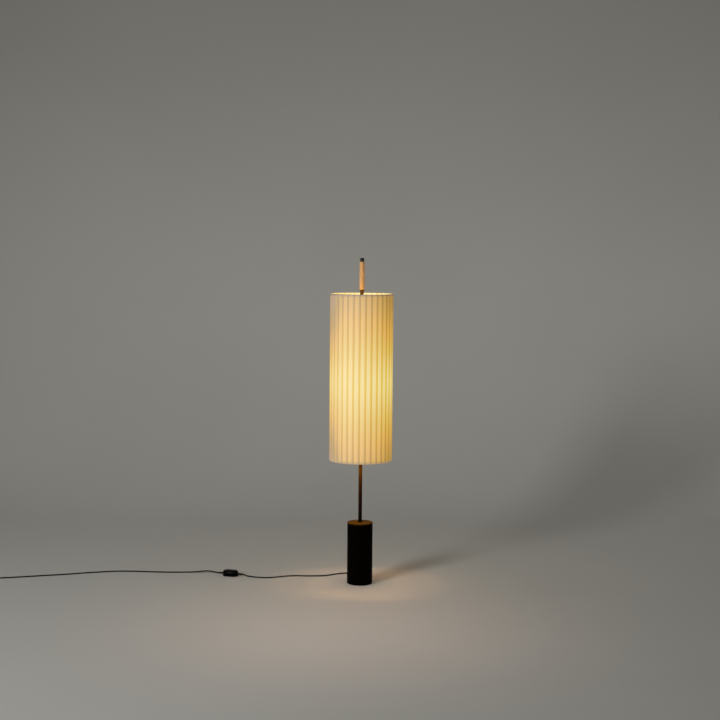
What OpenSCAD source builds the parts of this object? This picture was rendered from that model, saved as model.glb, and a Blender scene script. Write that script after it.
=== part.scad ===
// Floor lamp with a tall cylindrical shade of overlapping upright ribbons.
// A slim stem rises from a heavy cylindrical base, carries two lampholders inside the shade, and ends
// in a wooden grip. The mains cord leaves the base at the rear, runs over the floor through a foot
// switch, and its spare length lies in a coil that ends in a two-pin plug.
// Millimetres. The origin is the middle of the base on the floor, +Z up, +X right, +Y to the rear.

/* [Base] */
// Outer radius of the base
base_r = 55; // [50:1:70]
// Height of the base's top face above the floor
base_h = 270; // [200:5:320]
// Thickness of the base's steel side wall
base_wall = 2; // [1.5:0.25:3]
// Thickness of the base's steel top
base_cover = 3; // [2:0.5:5]
// Rounding of the base's top edge
base_edge = 1.5; // [0.5:0.25:2]
// Thickness of the rubber pad under the base
pad_t = 2; // [1:0.5:4]
// Distance that the pad stands in from the side of the base
pad_inset = 4; // [3:0.5:8]
// Thickness of the bottom plate
plate_t = 3; // [2.5:0.5:5]
// Radius of the cored recess in the underside of the ballast
recess_r = 30; // [26:1:34]
// Height of the recess above the bottom plate
recess_h = 58; // [54:1:90]
// Radius of the circle of the bottom plate's screws
plate_screw_circle = 42; // [40:0.5:44]
// Length of the bottom plate's screws
plate_screw_l = 16; // [10:1:20]

/* [Stem] */
// Outer radius of the stem tube
stem_r = 8; // [7:0.25:9]
// Wall of the stem tube
stem_wall = 1.5; // [1:0.25:2]
// Width across the flats of the nut under the ballast
stem_nut_af = 26; // [24:1:30]
// Height of the nut under the ballast
stem_nut_h = 9; // [6:1:10]
// Thickness of the washer under the ballast
washer_t = 2.5; // [1.5:0.5:4]
// Radius of the side holes that the leads leave the stem by
lead_hole_r = 3; // [2.5:0.25:4]

/* [Grip] */
// Gap between the shade's top rim and the wooden grip
neck_h = 18; // [14:1:60]
// Length of the wooden grip
grip_l = 119; // [80:1:160]
// Outer radius of the wooden grip
grip_r = 10.7; // [10:0.1:16]
// Height of the collar that carries the grip
grip_collar_h = 6; // [5:0.5:8]
// Height of the cap above the grip
cap_h = 16; // [6:1:30]
// Radius of the cap above the grip
cap_r = 8.4; // [8.25:0.05:9.5]

/* [Shade] */
// Radius of the shade, to the outside of its ribbons
shade_r = 135.5; // [125:0.5:160]
// Height of the shade
shade_h = 721; // [600:1:800]
// Height of the shade's bottom rim above the floor
shade_z = 541; // [480:1:640]
// Number of ribbons round the shade
ribbon_count = 32; // [24:1:36]
// Part of a ribbon that its neighbour covers, as a share of the step from ribbon to ribbon
ribbon_lap = 0.33; // [0.15:0.01:0.4]
// Thickness of a ribbon
ribbon_t = 0.5; // [0.3:0.1:0.6]
// Direction of the first ribbon's middle, in degrees from +X
ribbon_phase = 2.3; // [0:0.1:11]
// Length of the ribbon that is turned in behind each ring
hem_l = 14; // [10:1:18]
// Radius of the wire of the rings and arms
wire_r = 2; // [1.5:0.25:2.5]
// Distance from each rim ring to the hub of its frame
hub_drop = 28; // [26:1:60]
// Bend radius of the arms
arm_bend = 7; // [5:1:10]
// Number of arms on each frame
arm_count = 3; // [3:1:4]
// Outer radius of the frames' hubs
hub_r = 13; // [12:0.5:16]
// Height of the frames' hubs
hub_h = 16; // [12:1:20]

/* [Lampholders] */
// Height of the lampholders' seat above the shade's bottom rim
seat_rise = 255; // [200:5:350]
// Distance of each lampholder's axis from the stem's axis
holder_x = 48; // [46:1:60]
// Outer radius of the lampholders
holder_r = 20; // [19:0.5:22]
// Height of a lampholder's cap
holder_cap_h = 20; // [16:1:26]
// Height of a lampholder's shell above its cap
holder_shell_h = 32; // [28:1:40]
// Thickness of the bracket's bar
bar_t = 4; // [3:0.5:6]
// Width of the bracket's bar
bar_w = 20; // [18:1:26]
// Radius of the threaded nipples
nipple_r = 5; // [4.5:0.25:5.5]
// Radius of a bulb's screw base
screw_base_r = 13.2; // [12.5:0.1:13.4]
// Largest radius of a bulb's glass
bulb_r = 30; // [26:0.5:34]
// Length of a bulb with its base
bulb_l = 108; // [100:1:120]
// Thickness of the bulbs' glass
glass_t = 1; // [0.6:0.1:1.5]

/* [Cord] */
// Diameter of the cord
cord_d = 6; // [5:0.5:6.5]
// Height of the cord gland's axis above the floor
gland_z = 16; // [15:0.5:20]
// Radius of the gland's flange
gland_r = 9.5; // [9:0.5:12]
// Thickness of the gland's flange
gland_t = 3; // [2:0.5:4]
// Length of the gland's strain relief
relief_l = 26; // [20:1:30]
// Smallest radius of a turn in the coil
coil_in_r = 24; // [22:1:34]
// Gap between neighbouring turns of the coil
coil_gap = 0.7; // [0.5:0.1:2]

/* [Foot switch] */
// Place of the switch's middle on the floor
switch_at = [-573, 119]; // [-700:1:200]
// Turn of the switch about the vertical, in degrees
switch_turn = -17; // [-25:1:-10]
// Length of the housing
switch_l = 71; // [64:1:84]
// Width of the housing
switch_w = 46; // [42:1:54]
// Height of the top of the dome above the floor
switch_h = 24; // [23:0.5:27]
// Height of the joint between the two shells, and of the cord's axis
switch_joint = 11; // [10:0.5:12]
// Height of the feet
switch_foot_h = 1.5; // [1:0.25:2]
// Wall of the housing
switch_wall = 2; // [1.5:0.25:2.5]
// Radius of the push button
button_r = 13; // [11:0.5:14]
// Height that the button stands above the dome
button_rise = 4; // [3.5:0.25:6]
// Travel of the button
button_travel = 2.5; // [1.5:0.25:3]
// Length of the strain reliefs of the switch
switch_relief_l = 18; // [14:1:24]

/* [Plug] */
// Where the cord enters the plug
plug_at = [-1683, -64]; // [-1800:1:0]
// Thickness of the plug's flat body, which lies on the floor
plug_h = 14; // [12:0.5:16]
// Width of the plug's body
plug_w = 36; // [34:1:40]
// Length of the plug's body
plug_l = 34; // [30:1:40]
// Radius of the plug's pins
pin_r = 2; // [1.9:0.05:2.1]
// Length of the pins that stands out of the body
pin_l = 19; // [18:1:20]
// Length of a pin's bare tip, in front of its insulated part
pin_tip_l = 9; // [6:0.5:12]
// Distance from pin to pin
pin_gap = 19; // [18:0.5:20]
// Length of the plug's strain relief
plug_relief_l = 24; // [20:1:30]

/* [Hidden] */
$fn = 64;

// Clearances
fit = 0.05;         // round a shaft, pin or screw in its hole
gap = 0.3;          // between pieces that only lie near each other
through = 1;        // how far a cut runs past the face that it goes through

// Colours
black_paint = [0.05, 0.045, 0.045];
black_plastic = [0.04, 0.04, 0.045];
zinc = [0.7, 0.7, 0.72];

// Heights of the base
plate_top = pad_t + plate_t;
recess_top = plate_top + recess_h;
ballast_top = base_h - base_cover;
ballast_r = base_r - base_wall - gap;
stem_spare = 4;     // stem that stands out below its nut
stem_bottom = recess_top - washer_t - stem_nut_h - stem_spare;
bore_r = stem_r + fit;
pull_r = stem_r - stem_wall;
plate_screw_r = 2.5;
plate_head_r = 4.5;
edge_break = 0.8;   // small chamfer on turned edges

// Heights of the shade, the grip and the lampholders
shade_top = shade_z + shade_h;
grip_z = shade_top + neck_h;
grip_top = grip_z + grip_l;
collar_r = grip_r - 1.2;
ribbon_step = 360 / ribbon_count;
ribbon_lift = ribbon_t + gap;
ribbon_tilt = atan(ribbon_lift / (shade_r * ribbon_step * PI / 180));
ribbon_span = ribbon_step * (1 + ribbon_lap);
ribbon_slit = gap / (shade_r * PI / 180);
wrap_r = wire_r + ribbon_lift / 2 * (1 + ribbon_lap) + 0.1;
ring_r = shade_r - ribbon_t - wrap_r;
ring_inset = wrap_r + ribbon_t;
upper_ring_z = shade_top - ring_inset;
lower_ring_z = shade_z + ring_inset;
upper_hub_z = upper_ring_z - hub_drop;
lower_hub_z = lower_ring_z + hub_drop;
first_arm = 90;
screw_r = 2;

seat_z = shade_z + seat_rise;
bar_z = seat_z - bar_t;
nut_h = 4;
nipple_z = bar_z - nut_h - 2;
nipple_top = seat_z + 8;
wire_way_r = nipple_r - 1.5;
holder_base_r = 9;
shell_z = seat_z + holder_cap_h;
shell_wall = 3;
insert_drop = 3;
insert_ledge = 3;
sleeve_t = 0.8;
sleeve_r = screw_base_r + gap + sleeve_t;
screw_base_h = 24;
bulb_z = shell_z;
bulb_neck_r = 11.5;
lead_r = 1.5;
lead_hole_z = bar_z - 20;
inner_cord_top = lead_hole_z - 22;
inner_bend = 4 * cord_d;

// Gland
cord_r = cord_d / 2;
groove_depth = 0.6;
gland_body_r = gland_r - 2.6;
gland_nut_af = 2 * gland_body_r + 5;
gland_nut_t = 4;
inner_wall_r = base_r - base_wall;
gland_nut_y = sqrt(inner_wall_r ^ 2 - (gland_nut_af / sqrt(3)) ^ 2) - gap;
channel_w = 2 * (gland_nut_af / sqrt(3)) + 2;
channel_top = gland_z + gland_nut_af / 2 + 2;
relief_start = base_r + gland_t;
relief_end = relief_start + relief_l;

// Foot switch, in its own frame: x along the housing, z up, the floor at z = 0
switch_r = switch_w / 2;
switch_straight = switch_l - switch_w;
dome_shoulder = switch_joint + 2;
dome_rise = switch_h - dome_shoulder;
dome_r = (switch_r ^ 2 + dome_rise ^ 2) / (2 * dome_rise);
dome_z = switch_h - dome_r;
floor_top = switch_foot_h + switch_wall;
button_top = switch_h + button_rise;
button_flange_r = button_r + 1.8;
button_flange_t = 1.5;
button_flange_z = dome_z + sqrt((dome_r - switch_wall) ^ 2 - button_flange_r ^ 2) - gap;
button_low = button_flange_z - button_flange_t;
block_top = button_low - button_travel - 3;
plunger_r = 2.5;
plunger_end = block_top + 0.8;
spring_r = 5;
spring_wire_r = 0.5;
spring_turns = 4;
relief_r = 5;
relief_neck_r = 3.4;
relief_hold_r = 4.2;
relief_hold_t = 1.5;
relief_hold_x = switch_straight / 2 - gap
    + sqrt((dome_r - switch_wall) ^ 2 - (switch_joint + relief_hold_r - dome_z) ^ 2);
switch_port = switch_l / 2 + switch_relief_l;
boss_r = 3;
boss_x = relief_hold_x - relief_hold_t - boss_r - 1;
switch_screw_r = 1.4;

// Plug, in its own frame: x from the cord's entry to the pins, the floor at z = 0
plug_body_x = plug_relief_l;
plug_front = plug_body_x + plug_l;
plug_shoulder = 9;
pin_root = 8;
pin_core_r = pin_r - 0.8;
pin_sleeve_r = pin_r - 0.3;
pin_tip_x = plug_front + pin_l - pin_tip_l;
pin_chamfer = 0.5;

// Sweeping
function unit(v) = v / norm(v);
function way(path, i) = unit(path[min(i + 1, len(path) - 1)] - path[max(i - 1, 0)]);

// The coil: two layers that spiral in and out again, its turns counted from where the spiral reverses
coil_at = [-1640, -20];
coil_first_turn = -2.5;
coil_last_turn = 2.75;
coil_start_angle = 90;
coil_rings = 24;
coil_sides = 6;
coil_step = cord_d + coil_gap;
coil_climb = 0.25;
function coil_level(turn) = (1 + sin(90 * max(-1, min(1, turn / coil_climb)))) / 2;
function coil_point(turn) =
    let (r = coil_in_r + coil_step * abs(turn), a = coil_start_angle + 360 * (turn - coil_first_turn))
    [coil_at[0] + r * cos(a), coil_at[1] + r * sin(a), cord_r + coil_step * coil_level(turn)];
function coil_heading(turn) = unit(coil_point(turn + 0.01) - coil_point(turn - 0.01));
coil_count = coil_rings * (coil_last_turn - coil_first_turn);
coil_turns = [for (i = [0:coil_count]) coil_first_turn + i / coil_rings];
coil_lead_in = [
    coil_point(coil_first_turn) - cord_d * coil_heading(coil_first_turn),
    coil_point(coil_first_turn) - 2.3 * cord_d * coil_heading(coil_first_turn)
];
coil_lead_out = [
    coil_point(coil_last_turn),
    coil_point(coil_last_turn) + cord_d * coil_heading(coil_last_turn)
];
coil_path = concat([coil_lead_in[0]], [for (t = coil_turns) coil_point(t)], [coil_lead_out[1]]);

// The smallest gap between the coil's own turns, from ring to ring at least half a turn apart
coil_least_gap = min([
    for (i = [0:len(coil_path) - 1])
        for (j = [i + coil_rings / 2:1:len(coil_path) - 1])
            norm(coil_path[i] - coil_path[j])
]) - cord_d;
echo(coil_least_gap = coil_least_gap);

// Point of the floor where the cord meets the switch, for the right end (1) or the left end (-1)
function port(end, reach = 0) = [
    switch_at[0] + end * (switch_port + reach) * cos(switch_turn),
    switch_at[1] + end * (switch_port + reach) * sin(switch_turn),
    switch_joint
];

// Route of the cord from the base to the switch: points along its middle, chosen by hand
to_switch_points = concat(
    [
        [0, relief_end, gland_z], [0, relief_end + 8, gland_z], [-1, 116, 9], [-8, 142, 3], [-26, 167, 3],
        [-54, 180, 3], [-86, 171, 3], [-120, 149, 3], [-157, 127, 3], [-200, 120, 3], [-245, 119, 3],
        [-285, 121, 3], [-322, 112, 3], [-358, 95, 3], [-396, 81, 3], [-436, 80, 3], [-472, 88, 4]
    ],
    [port(1, 22) - [0, 0, 4.5], port(1, 8), port(1)]
);

// Route of the cord from the switch to its coil
run_points = concat(
    [port(-1), port(-1, 8)],
    [
        [-656, 146, 13], [-684, 157, 13], [-714, 167, 8], [-748, 173, 4], [-790, 172, 3], [-838, 170, 3],
        [-886, 171, 3], [-934, 175, 3], [-982, 180, 3], [-1030, 182, 3], [-1078, 181, 3], [-1126, 173, 3],
        [-1178, 157, 3], [-1232, 139, 3], [-1286, 117, 3], [-1340, 99, 3], [-1396, 83, 3], [-1452, 65, 3],
        [-1508, 47, 3], [-1562, 33, 3], [-1602, 25, 3]
    ],
    [coil_lead_in[1], coil_lead_in[0]]
);

// Route of the cord from the coil to the plug
tail_points = concat(
    [coil_lead_out[1], coil_lead_out[1] + 0.8 * (coil_lead_out[1] - coil_lead_out[0])],
    [[-1684, -44, 8], [plug_at[0], plug_at[1] + 8, plug_h / 2], [plug_at[0], plug_at[1], plug_h / 2]]
);

// A point of the smooth curve through the route, at the share t of the stretch from point i to the next
function on_curve(route, i, t) =
    let (
        a = route[max(i - 1, 0)], b = route[i], c = route[i + 1], d = route[min(i + 2, len(route) - 1)]
    )
    (2 * b + (c - a) * t + (2 * a - 5 * b + 4 * c - d) * t ^ 2 + (3 * b - a - 3 * c + d) * t ^ 3) / 2;

// The route with a point halfway between neighbours, but straight first and last stretches
function eased(route) = [
    for (i = [0:len(route) - 2])
        each (i == 0 || i == len(route) - 2) ? [route[i]] : [route[i], on_curve(route, i, 0.5)],
    route[len(route) - 1]
];

// A tube of triangles along a path; up is a direction that the path never takes
module swept_tube(path, r, sides, up = [0, 0, 1]) {
    rings = [
        for (i = [0:len(path) - 1])
            let (t = way(path, i), side = unit(cross(t, up)), lift = cross(side, t))
            for (k = [0:sides - 1])
                path[i] + r * (cos(360 * k / sides) * side + sin(360 * k / sides) * lift)
    ];
    last = sides * (len(path) - 1);
    walls = [
        for (i = [0:len(path) - 2])
            for (k = [0:sides - 1])
                let (a = sides * i + k, b = sides * i + (k + 1) % sides)
                each [[a, b, b + sides], [a, b + sides, a + sides]]
    ];
    caps = [for (k = [1:sides - 2]) each [[0, k + 1, k], [last, last + k, last + k + 1]]];
    polyhedron(points = rings, faces = concat(walls, caps), convexity = 6);
}

// A tube along an arc of a circle, turning from +X towards +Y about the origin
module bent_rod(bend, r, turn) {
    rotate_extrude(angle = turn)
        translate([bend, 0])
            circle(r);
}

// A hexagon nut on the z axis, its flats square to y
module hex_nut(af, h, hole) {
    difference() {
        cylinder(r = af / sqrt(3), h = h, $fn = 6);
        translate([0, 0, -through])
            cylinder(r = hole, h = h + 2 * through);
    }
}

// A tapered strain relief on the z axis, with three grooves
module strain_relief(length, r_wide, r_narrow, hole) {
    groove = length / 9;
    function r_at(z) = r_wide + (r_narrow - r_wide) * z / length;
    rotate_extrude()
        difference() {
            polygon([[hole, 0], [r_wide, 0], [r_narrow, length], [hole, length]]);
            for (i = [1:3])
                translate([r_at(groove * 2 * i) - groove_depth, groove * 2 * i])
                    square([r_wide, groove]);
        }
}

// A grub screw lying along +Y from its tip
module grub_screw(length) {
    socket_r = 1;
    rotate([-90, 0, 0])
        difference() {
            cylinder(r = screw_r, h = length);
            translate([0, 0, length - 2])
                cylinder(r = socket_r, h = 2 + through, $fn = 6);
        }
}

// The hole that a grub screw goes into, from the stem's axis out through a collar
module grub_hole(reach) {
    rotate([-90, 0, 0])
        cylinder(r = screw_r + fit, h = reach + through);
}

// ---- Base ----

module base_shell() {
    color(black_paint)
        difference() {
            rotate_extrude($fn = 128)
                difference() {
                    union() {
                        translate([0, pad_t])
                            square([base_r, base_h - pad_t - base_edge]);
                        translate([0, base_h - 2 * base_edge])
                            square([base_r - base_edge, 2 * base_edge]);
                        translate([base_r - base_edge, base_h - base_edge])
                            circle(base_edge);
                    }
                    translate([-through, -through])
                        square([inner_wall_r + through, ballast_top + through]);
                    translate([-through, 0])
                        square([bore_r + through, base_h + through]);
                }
            translate([0, base_r - 2 * base_wall, gland_z])
                rotate([-90, 0, 0])
                    cylinder(r = gland_body_r + fit, h = 3 * base_wall);
        }
}

module plate_screw_places() {
    for (i = [0:2])
        rotate([0, 0, 30 + 120 * i])
            translate([plate_screw_circle, 0, pad_t])
                children();
}

module ballast() {
    color([0.23, 0.23, 0.24])
        difference() {
            translate([0, 0, plate_top])
                cylinder(r = ballast_r, h = ballast_top - plate_top, $fn = 128);
            translate([0, 0, plate_top - through])
                cylinder(r = recess_r, h = recess_h + through);
            cylinder(r = bore_r, h = base_h);
            translate([-channel_w / 2, 0, plate_top - through])
                cube([channel_w, base_r, channel_top - plate_top + through]);
            plate_screw_places()
                cylinder(r = plate_screw_r + fit, h = plate_screw_l + 2);
        }
}

module bottom_plate() {
    color(zinc)
        difference() {
            translate([0, 0, pad_t])
                cylinder(r = ballast_r, h = plate_t, $fn = 128);
            plate_screw_places() {
                translate([0, 0, -through])
                    cylinder(r = plate_screw_r + fit, h = plate_t + 2 * through);
                cylinder(r1 = plate_head_r + fit, r2 = plate_screw_r + fit, h = plate_head_r - plate_screw_r);
            }
        }
}

module plate_screws() {
    color(zinc)
        plate_screw_places() {
            cylinder(r = plate_screw_r, h = plate_screw_l);
            cylinder(r1 = plate_head_r, r2 = plate_screw_r, h = plate_head_r - plate_screw_r);
        }
}

module foot_pad() {
    color([0.09, 0.09, 0.09])
        cylinder(r = base_r - pad_inset, h = pad_t, $fn = 96);
}

module stem_washer() {
    color(zinc)
        translate([0, 0, recess_top - washer_t])
            difference() {
                cylinder(r = stem_nut_af / 2 + 5, h = washer_t);
                translate([0, 0, -through])
                    cylinder(r = bore_r, h = washer_t + 2 * through);
            }
}

module stem_nut() {
    color(zinc)
        translate([0, 0, recess_top - washer_t - stem_nut_h])
            hex_nut(stem_nut_af, stem_nut_h, bore_r);
}

module cord_gland() {
    color(black_plastic)
        difference() {
            translate([0, 0, gland_z])
                rotate([-90, 0, 0]) {
                    translate([0, 0, gland_nut_y - gland_nut_t - 1])
                        cylinder(r = gland_body_r, h = relief_start - gland_nut_y + gland_nut_t + 1);
                    difference() {
                        translate([0, 0, base_r - 2])
                            cylinder(r = gland_r, h = gland_t + 2);
                        rotate([90, 0, 0])
                            cylinder(r = base_r + fit, h = 4 * gland_r, center = true, $fn = 128);
                    }
                }
            translate([0, 0, gland_z])
                rotate([-90, 0, 0])
                    cylinder(r = cord_r + fit, h = relief_end);
        }
}

module gland_nut() {
    color(zinc)
        translate([0, gland_nut_y, gland_z])
            rotate([90, 0, 0])
                hex_nut(gland_nut_af, gland_nut_t, gland_body_r + fit);
}

module gland_relief() {
    color(black_plastic)
        translate([0, relief_start, gland_z])
            rotate([-90, 0, 0])
                strain_relief(relief_l, gland_body_r, cord_r + 1.4, cord_r + fit);
}

// ---- Stem and grip ----

module stem_tube() {
    color(black_paint)
        difference() {
            translate([0, 0, stem_bottom])
                cylinder(r = stem_r, h = grip_top - stem_bottom);
            translate([0, 0, stem_bottom - through])
                cylinder(r = pull_r, h = grip_top - stem_bottom + 2 * through);
            translate([0, 0, lead_hole_z])
                rotate([0, 90, 0])
                    cylinder(r = lead_hole_r, h = 4 * stem_r, center = true);
        }
}

module grip_collar() {
    color(black_paint)
        translate([0, 0, grip_z - grip_collar_h])
            difference() {
                rotate_extrude()
                    polygon([
                        [bore_r, 0], [collar_r - edge_break, 0], [collar_r, edge_break],
                        [collar_r, grip_collar_h], [bore_r, grip_collar_h]
                    ]);
                translate([0, 0, grip_collar_h / 2])
                    grub_hole(collar_r);
            }
}

module wood_grip() {
    color([0.80, 0.58, 0.38])
        translate([0, 0, grip_z])
            rotate_extrude()
                polygon([
                    [bore_r, 0], [grip_r - edge_break, 0], [grip_r, edge_break],
                    [grip_r, grip_l - edge_break], [grip_r - edge_break, grip_l], [bore_r, grip_l]
                ]);
}

module top_cap() {
    spigot_l = 18;
    color(black_paint)
        translate([0, 0, grip_top])
            rotate_extrude()
                union() {
                    square([cap_r, cap_h - edge_break]);
                    polygon([
                        [0, cap_h - edge_break], [cap_r, cap_h - edge_break],
                        [cap_r - edge_break, cap_h], [0, cap_h]
                    ]);
                    translate([0, -spigot_l])
                        square([pull_r - fit, spigot_l]);
                }
}

// ---- Shade ----

// One rim ring with its arms and hub: the ring at z = 0, the hub hub_drop below it
module shade_frame() {
    leg = hub_drop - arm_bend;
    difference() {
        union() {
            rotate_extrude($fn = 128)
                translate([ring_r, 0])
                    circle(wire_r, $fn = 24);
            for (i = [0:arm_count - 1])
                rotate([0, 0, first_arm + 360 * i / arm_count]) {
                    translate([ring_r, 0, -leg])
                        cylinder(r = wire_r, h = leg, $fn = 24);
                    translate([ring_r - arm_bend, 0, -leg])
                        rotate([-90, 0, 0])
                            bent_rod(arm_bend, wire_r, 90, $fn = 24);
                    translate([stem_r + 2, 0, -hub_drop])
                        rotate([0, 90, 0])
                            cylinder(r = wire_r, h = ring_r - arm_bend - stem_r - 2, $fn = 24);
                }
            translate([0, 0, -hub_drop - hub_h / 2])
                cylinder(r = hub_r, h = hub_h);
        }
        translate([0, 0, -hub_drop - hub_h])
            cylinder(r = bore_r, h = 2 * hub_h);
        translate([0, 0, -hub_drop])
            rotate([0, 0, 180 / arm_count])
                grub_hole(hub_r);
    }
}

module upper_shade_frame() {
    color(zinc)
        translate([0, 0, upper_ring_z])
            shade_frame();
}

module lower_shade_frame() {
    color(zinc)
        translate([0, 0, lower_ring_z])
            mirror([0, 0, 1])
                shade_frame();
}

// Section of a ribbon: a wall from ring to ring, turned over both rings, with a hem behind each
module ribbon_section() {
    module loop(r) {
        translate([ring_r, lower_ring_z])
            circle(r, $fn = 12);
        translate([ring_r, upper_ring_z])
            circle(r, $fn = 12);
        translate([ring_r - r, lower_ring_z])
            square([2 * r, upper_ring_z - lower_ring_z]);
    }
    difference() {
        loop(wrap_r + ribbon_t);
        loop(wrap_r);
        translate([ring_r - 2 * wrap_r, lower_ring_z + hem_l])
            square([2 * wrap_r, upper_ring_z - lower_ring_z - 2 * hem_l]);
    }
}

// Section of what is trimmed off beside the hems: all but the wall between the rings
module trim_section() {
    reach = 3 * wrap_r;
    difference() {
        translate([ring_r - reach, shade_z - reach])
            square([2 * reach, shade_h + 2 * reach]);
        translate([ring_r, lower_ring_z + wire_r])
            square([2 * reach, upper_ring_z - lower_ring_z - 2 * wire_r]);
    }
}

// A section swept round the shade's axis from one angle to another
module ribbon_sweep(from, to) {
    rotate([0, 0, from])
        rotate_extrude(angle = to - from, $fn = 180)
            children();
}

// One ribbon, its middle on +X. It is turned a little about that middle, so that its far edge lies over
// the next ribbon. Where it turns over the rings it is trimmed to lie beside its neighbours.
module ribbon() {
    hem_edge = ribbon_step / 2 - ribbon_slit;
    translate([shade_r, 0, 0])
        rotate([0, 0, -ribbon_tilt])
            translate([-shade_r, 0, 0])
                difference() {
                    ribbon_sweep(-ribbon_span / 2, ribbon_span / 2)
                        ribbon_section();
                    ribbon_sweep(-ribbon_span, -hem_edge)
                        trim_section();
                    ribbon_sweep(hem_edge, ribbon_span)
                        trim_section();
                }
}

module shade_ribbons() {
    color([0.93, 0.84, 0.62])
        for (i = [0:ribbon_count - 1])
            rotate([0, 0, ribbon_phase + ribbon_step * i])
                ribbon();
}

module grub_screws() {
    color(zinc) {
        translate([0, stem_r + 2 * fit, grip_z - grip_collar_h / 2])
            grub_screw(collar_r - stem_r);
        for (z = [upper_hub_z, lower_hub_z])
            translate([0, 0, z])
                rotate([0, 0, 180 / arm_count])
                    translate([0, stem_r + 2 * fit, 0])
                        grub_screw(hub_r - stem_r);
        translate([0, stem_r + 2 * fit, bar_z - hub_h / 4])
            grub_screw(hub_r - stem_r);
    }
}

// ---- Lampholders ----

module lamp_bracket() {
    color(zinc)
        difference() {
            union() {
                translate([0, 0, bar_z - hub_h / 2])
                    cylinder(r = hub_r, h = hub_h / 2 + bar_t + hub_h / 4);
                translate([-holder_x, -bar_w / 2, bar_z])
                    cube([2 * holder_x, bar_w, bar_t]);
                for (side = [-1, 1])
                    translate([side * holder_x, 0, bar_z])
                        cylinder(r = bar_w / 2, h = bar_t);
            }
            translate([0, 0, bar_z - hub_h])
                cylinder(r = bore_r, h = 2 * hub_h);
            for (side = [-1, 1])
                translate([side * holder_x, 0, bar_z - through])
                    cylinder(r = nipple_r + fit, h = bar_t + 2 * through);
            translate([0, 0, bar_z - hub_h / 4])
                grub_hole(hub_r);
        }
}

module bracket_nipples() {
    color(zinc)
        for (side = [-1, 1])
            translate([side * holder_x, 0, nipple_z])
                difference() {
                    cylinder(r = nipple_r, h = nipple_top - nipple_z);
                    translate([0, 0, -through])
                        cylinder(r = wire_way_r, h = nipple_top - nipple_z + 2 * through);
                }
}

module nipple_nuts() {
    color(zinc)
        for (side = [-1, 1])
            translate([side * holder_x, 0, bar_z - nut_h])
                hex_nut(2 * nipple_r + 5, nut_h, nipple_r + fit);
}

module holder_cap(side) {
    inside_r = holder_r - shell_wall;
    color([0.93, 0.92, 0.89])
        translate([side * holder_x, 0, seat_z])
            rotate_extrude()
                polygon([
                    [nipple_r + fit, 0], [holder_base_r, 0], [holder_base_r + 1, 3],
                    [holder_r - 3, holder_cap_h - 9], [holder_r, holder_cap_h - 5], [holder_r, holder_cap_h],
                    [inside_r, holder_cap_h], [inside_r, holder_cap_h - insert_drop],
                    [inside_r - insert_ledge, holder_cap_h - insert_drop], [holder_base_r, 7],
                    [nipple_r + fit, 7]
                ]);
}

module holder_shell(side) {
    inside_r = holder_r - shell_wall;
    color([0.93, 0.92, 0.89])
        translate([side * holder_x, 0, shell_z])
            rotate_extrude()
                difference() {
                    polygon([
                        [inside_r, 0], [holder_r, 0], [holder_r, holder_shell_h - 2],
                        [holder_r - 1, holder_shell_h], [inside_r, holder_shell_h]
                    ]);
                    for (i = [0:3])
                        translate([holder_r - 0.8, 5 + 6 * i])
                            square([2, 2]);
                }
}

// The contact disc that lies on the cap's ledge, with the sleeve that the bulb's base screws into
module holder_insert(side) {
    color([0.80, 0.66, 0.36])
        translate([side * holder_x, 0, shell_z - insert_drop])
            rotate_extrude()
                union() {
                    square([holder_r - shell_wall - fit, insert_drop]);
                    translate([sleeve_r - sleeve_t, 0])
                        square([sleeve_t, insert_drop + holder_shell_h - 3]);
                }
}

module bulb_base(side) {
    tip_h = 3;
    color(zinc)
        translate([side * holder_x, 0, bulb_z])
            rotate_extrude()
                polygon([
                    [0, 0], [4, 0], [5, tip_h], [screw_base_r - 1, tip_h + 2],
                    [screw_base_r, tip_h + 4], [screw_base_r, screw_base_h], [0, screw_base_h]
                ]);
}

// The glass: a ball on a flared neck, hollow, open where it meets the screw base
module bulb_glass(side) {
    ball_z = bulb_l - bulb_r - screw_base_h;
    module outline(inset) {
        translate([0, ball_z])
            circle(bulb_r - inset, $fn = 96);
        polygon([
            [0, 0], [bulb_neck_r - inset, 0], [bulb_neck_r + 1.5 - inset, 9],
            [(bulb_r - inset) * sin(48), ball_z - (bulb_r - inset) * cos(48)], [0, ball_z]
        ]);
    }
    color([0.98, 0.95, 0.88])
        translate([side * holder_x, 0, bulb_z + screw_base_h])
            rotate_extrude($fn = 96)
                difference() {
                    outline(0);
                    translate([0, -0.01])
                        outline(glass_t);
                    translate([-2 * bulb_r, -bulb_r])
                        square([2 * bulb_r, 4 * bulb_r]);
                }
}

// ---- Wiring inside the lamp ----

// From the strain relief into the recess, round a bend and up the stem
module inner_cord() {
    color([0.10, 0.10, 0.10]) {
        translate([0, inner_bend, gland_z])
            rotate([-90, 0, 0])
                cylinder(r = cord_r, h = relief_end - inner_bend);
        translate([0, inner_bend, gland_z + inner_bend])
            rotate([0, 90, 180])
                bent_rod(inner_bend, cord_r, 90);
        translate([0, 0, gland_z + inner_bend])
            cylinder(r = cord_r, h = inner_cord_top - gland_z - inner_bend);
    }
}

// From the inner cord's end, out of the stem's side hole and up into the nipple
module lead(side) {
    start_x = lead_r + gap / 2;
    points = [
        [start_x, inner_cord_top + gap], [start_x, inner_cord_top + 9], [start_x + 1, lead_hole_z - 5],
        [stem_r - 1, lead_hole_z], [stem_r + 6, lead_hole_z], [holder_x - 22, lead_hole_z - 4],
        [holder_x - 10, lead_hole_z - 3], [holder_x - 2, lead_hole_z + 4], [holder_x, nipple_z - 4],
        [holder_x, nipple_z + 4], [holder_x, nipple_top - 4]
    ];
    route = [for (p = points) [side * p[0], 0, p[1]]];
    color([0.85, 0.85, 0.82])
        swept_tube(eased(route), lead_r, 8, up = [0, 1, 0]);
}

// ---- Foot switch ----

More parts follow.
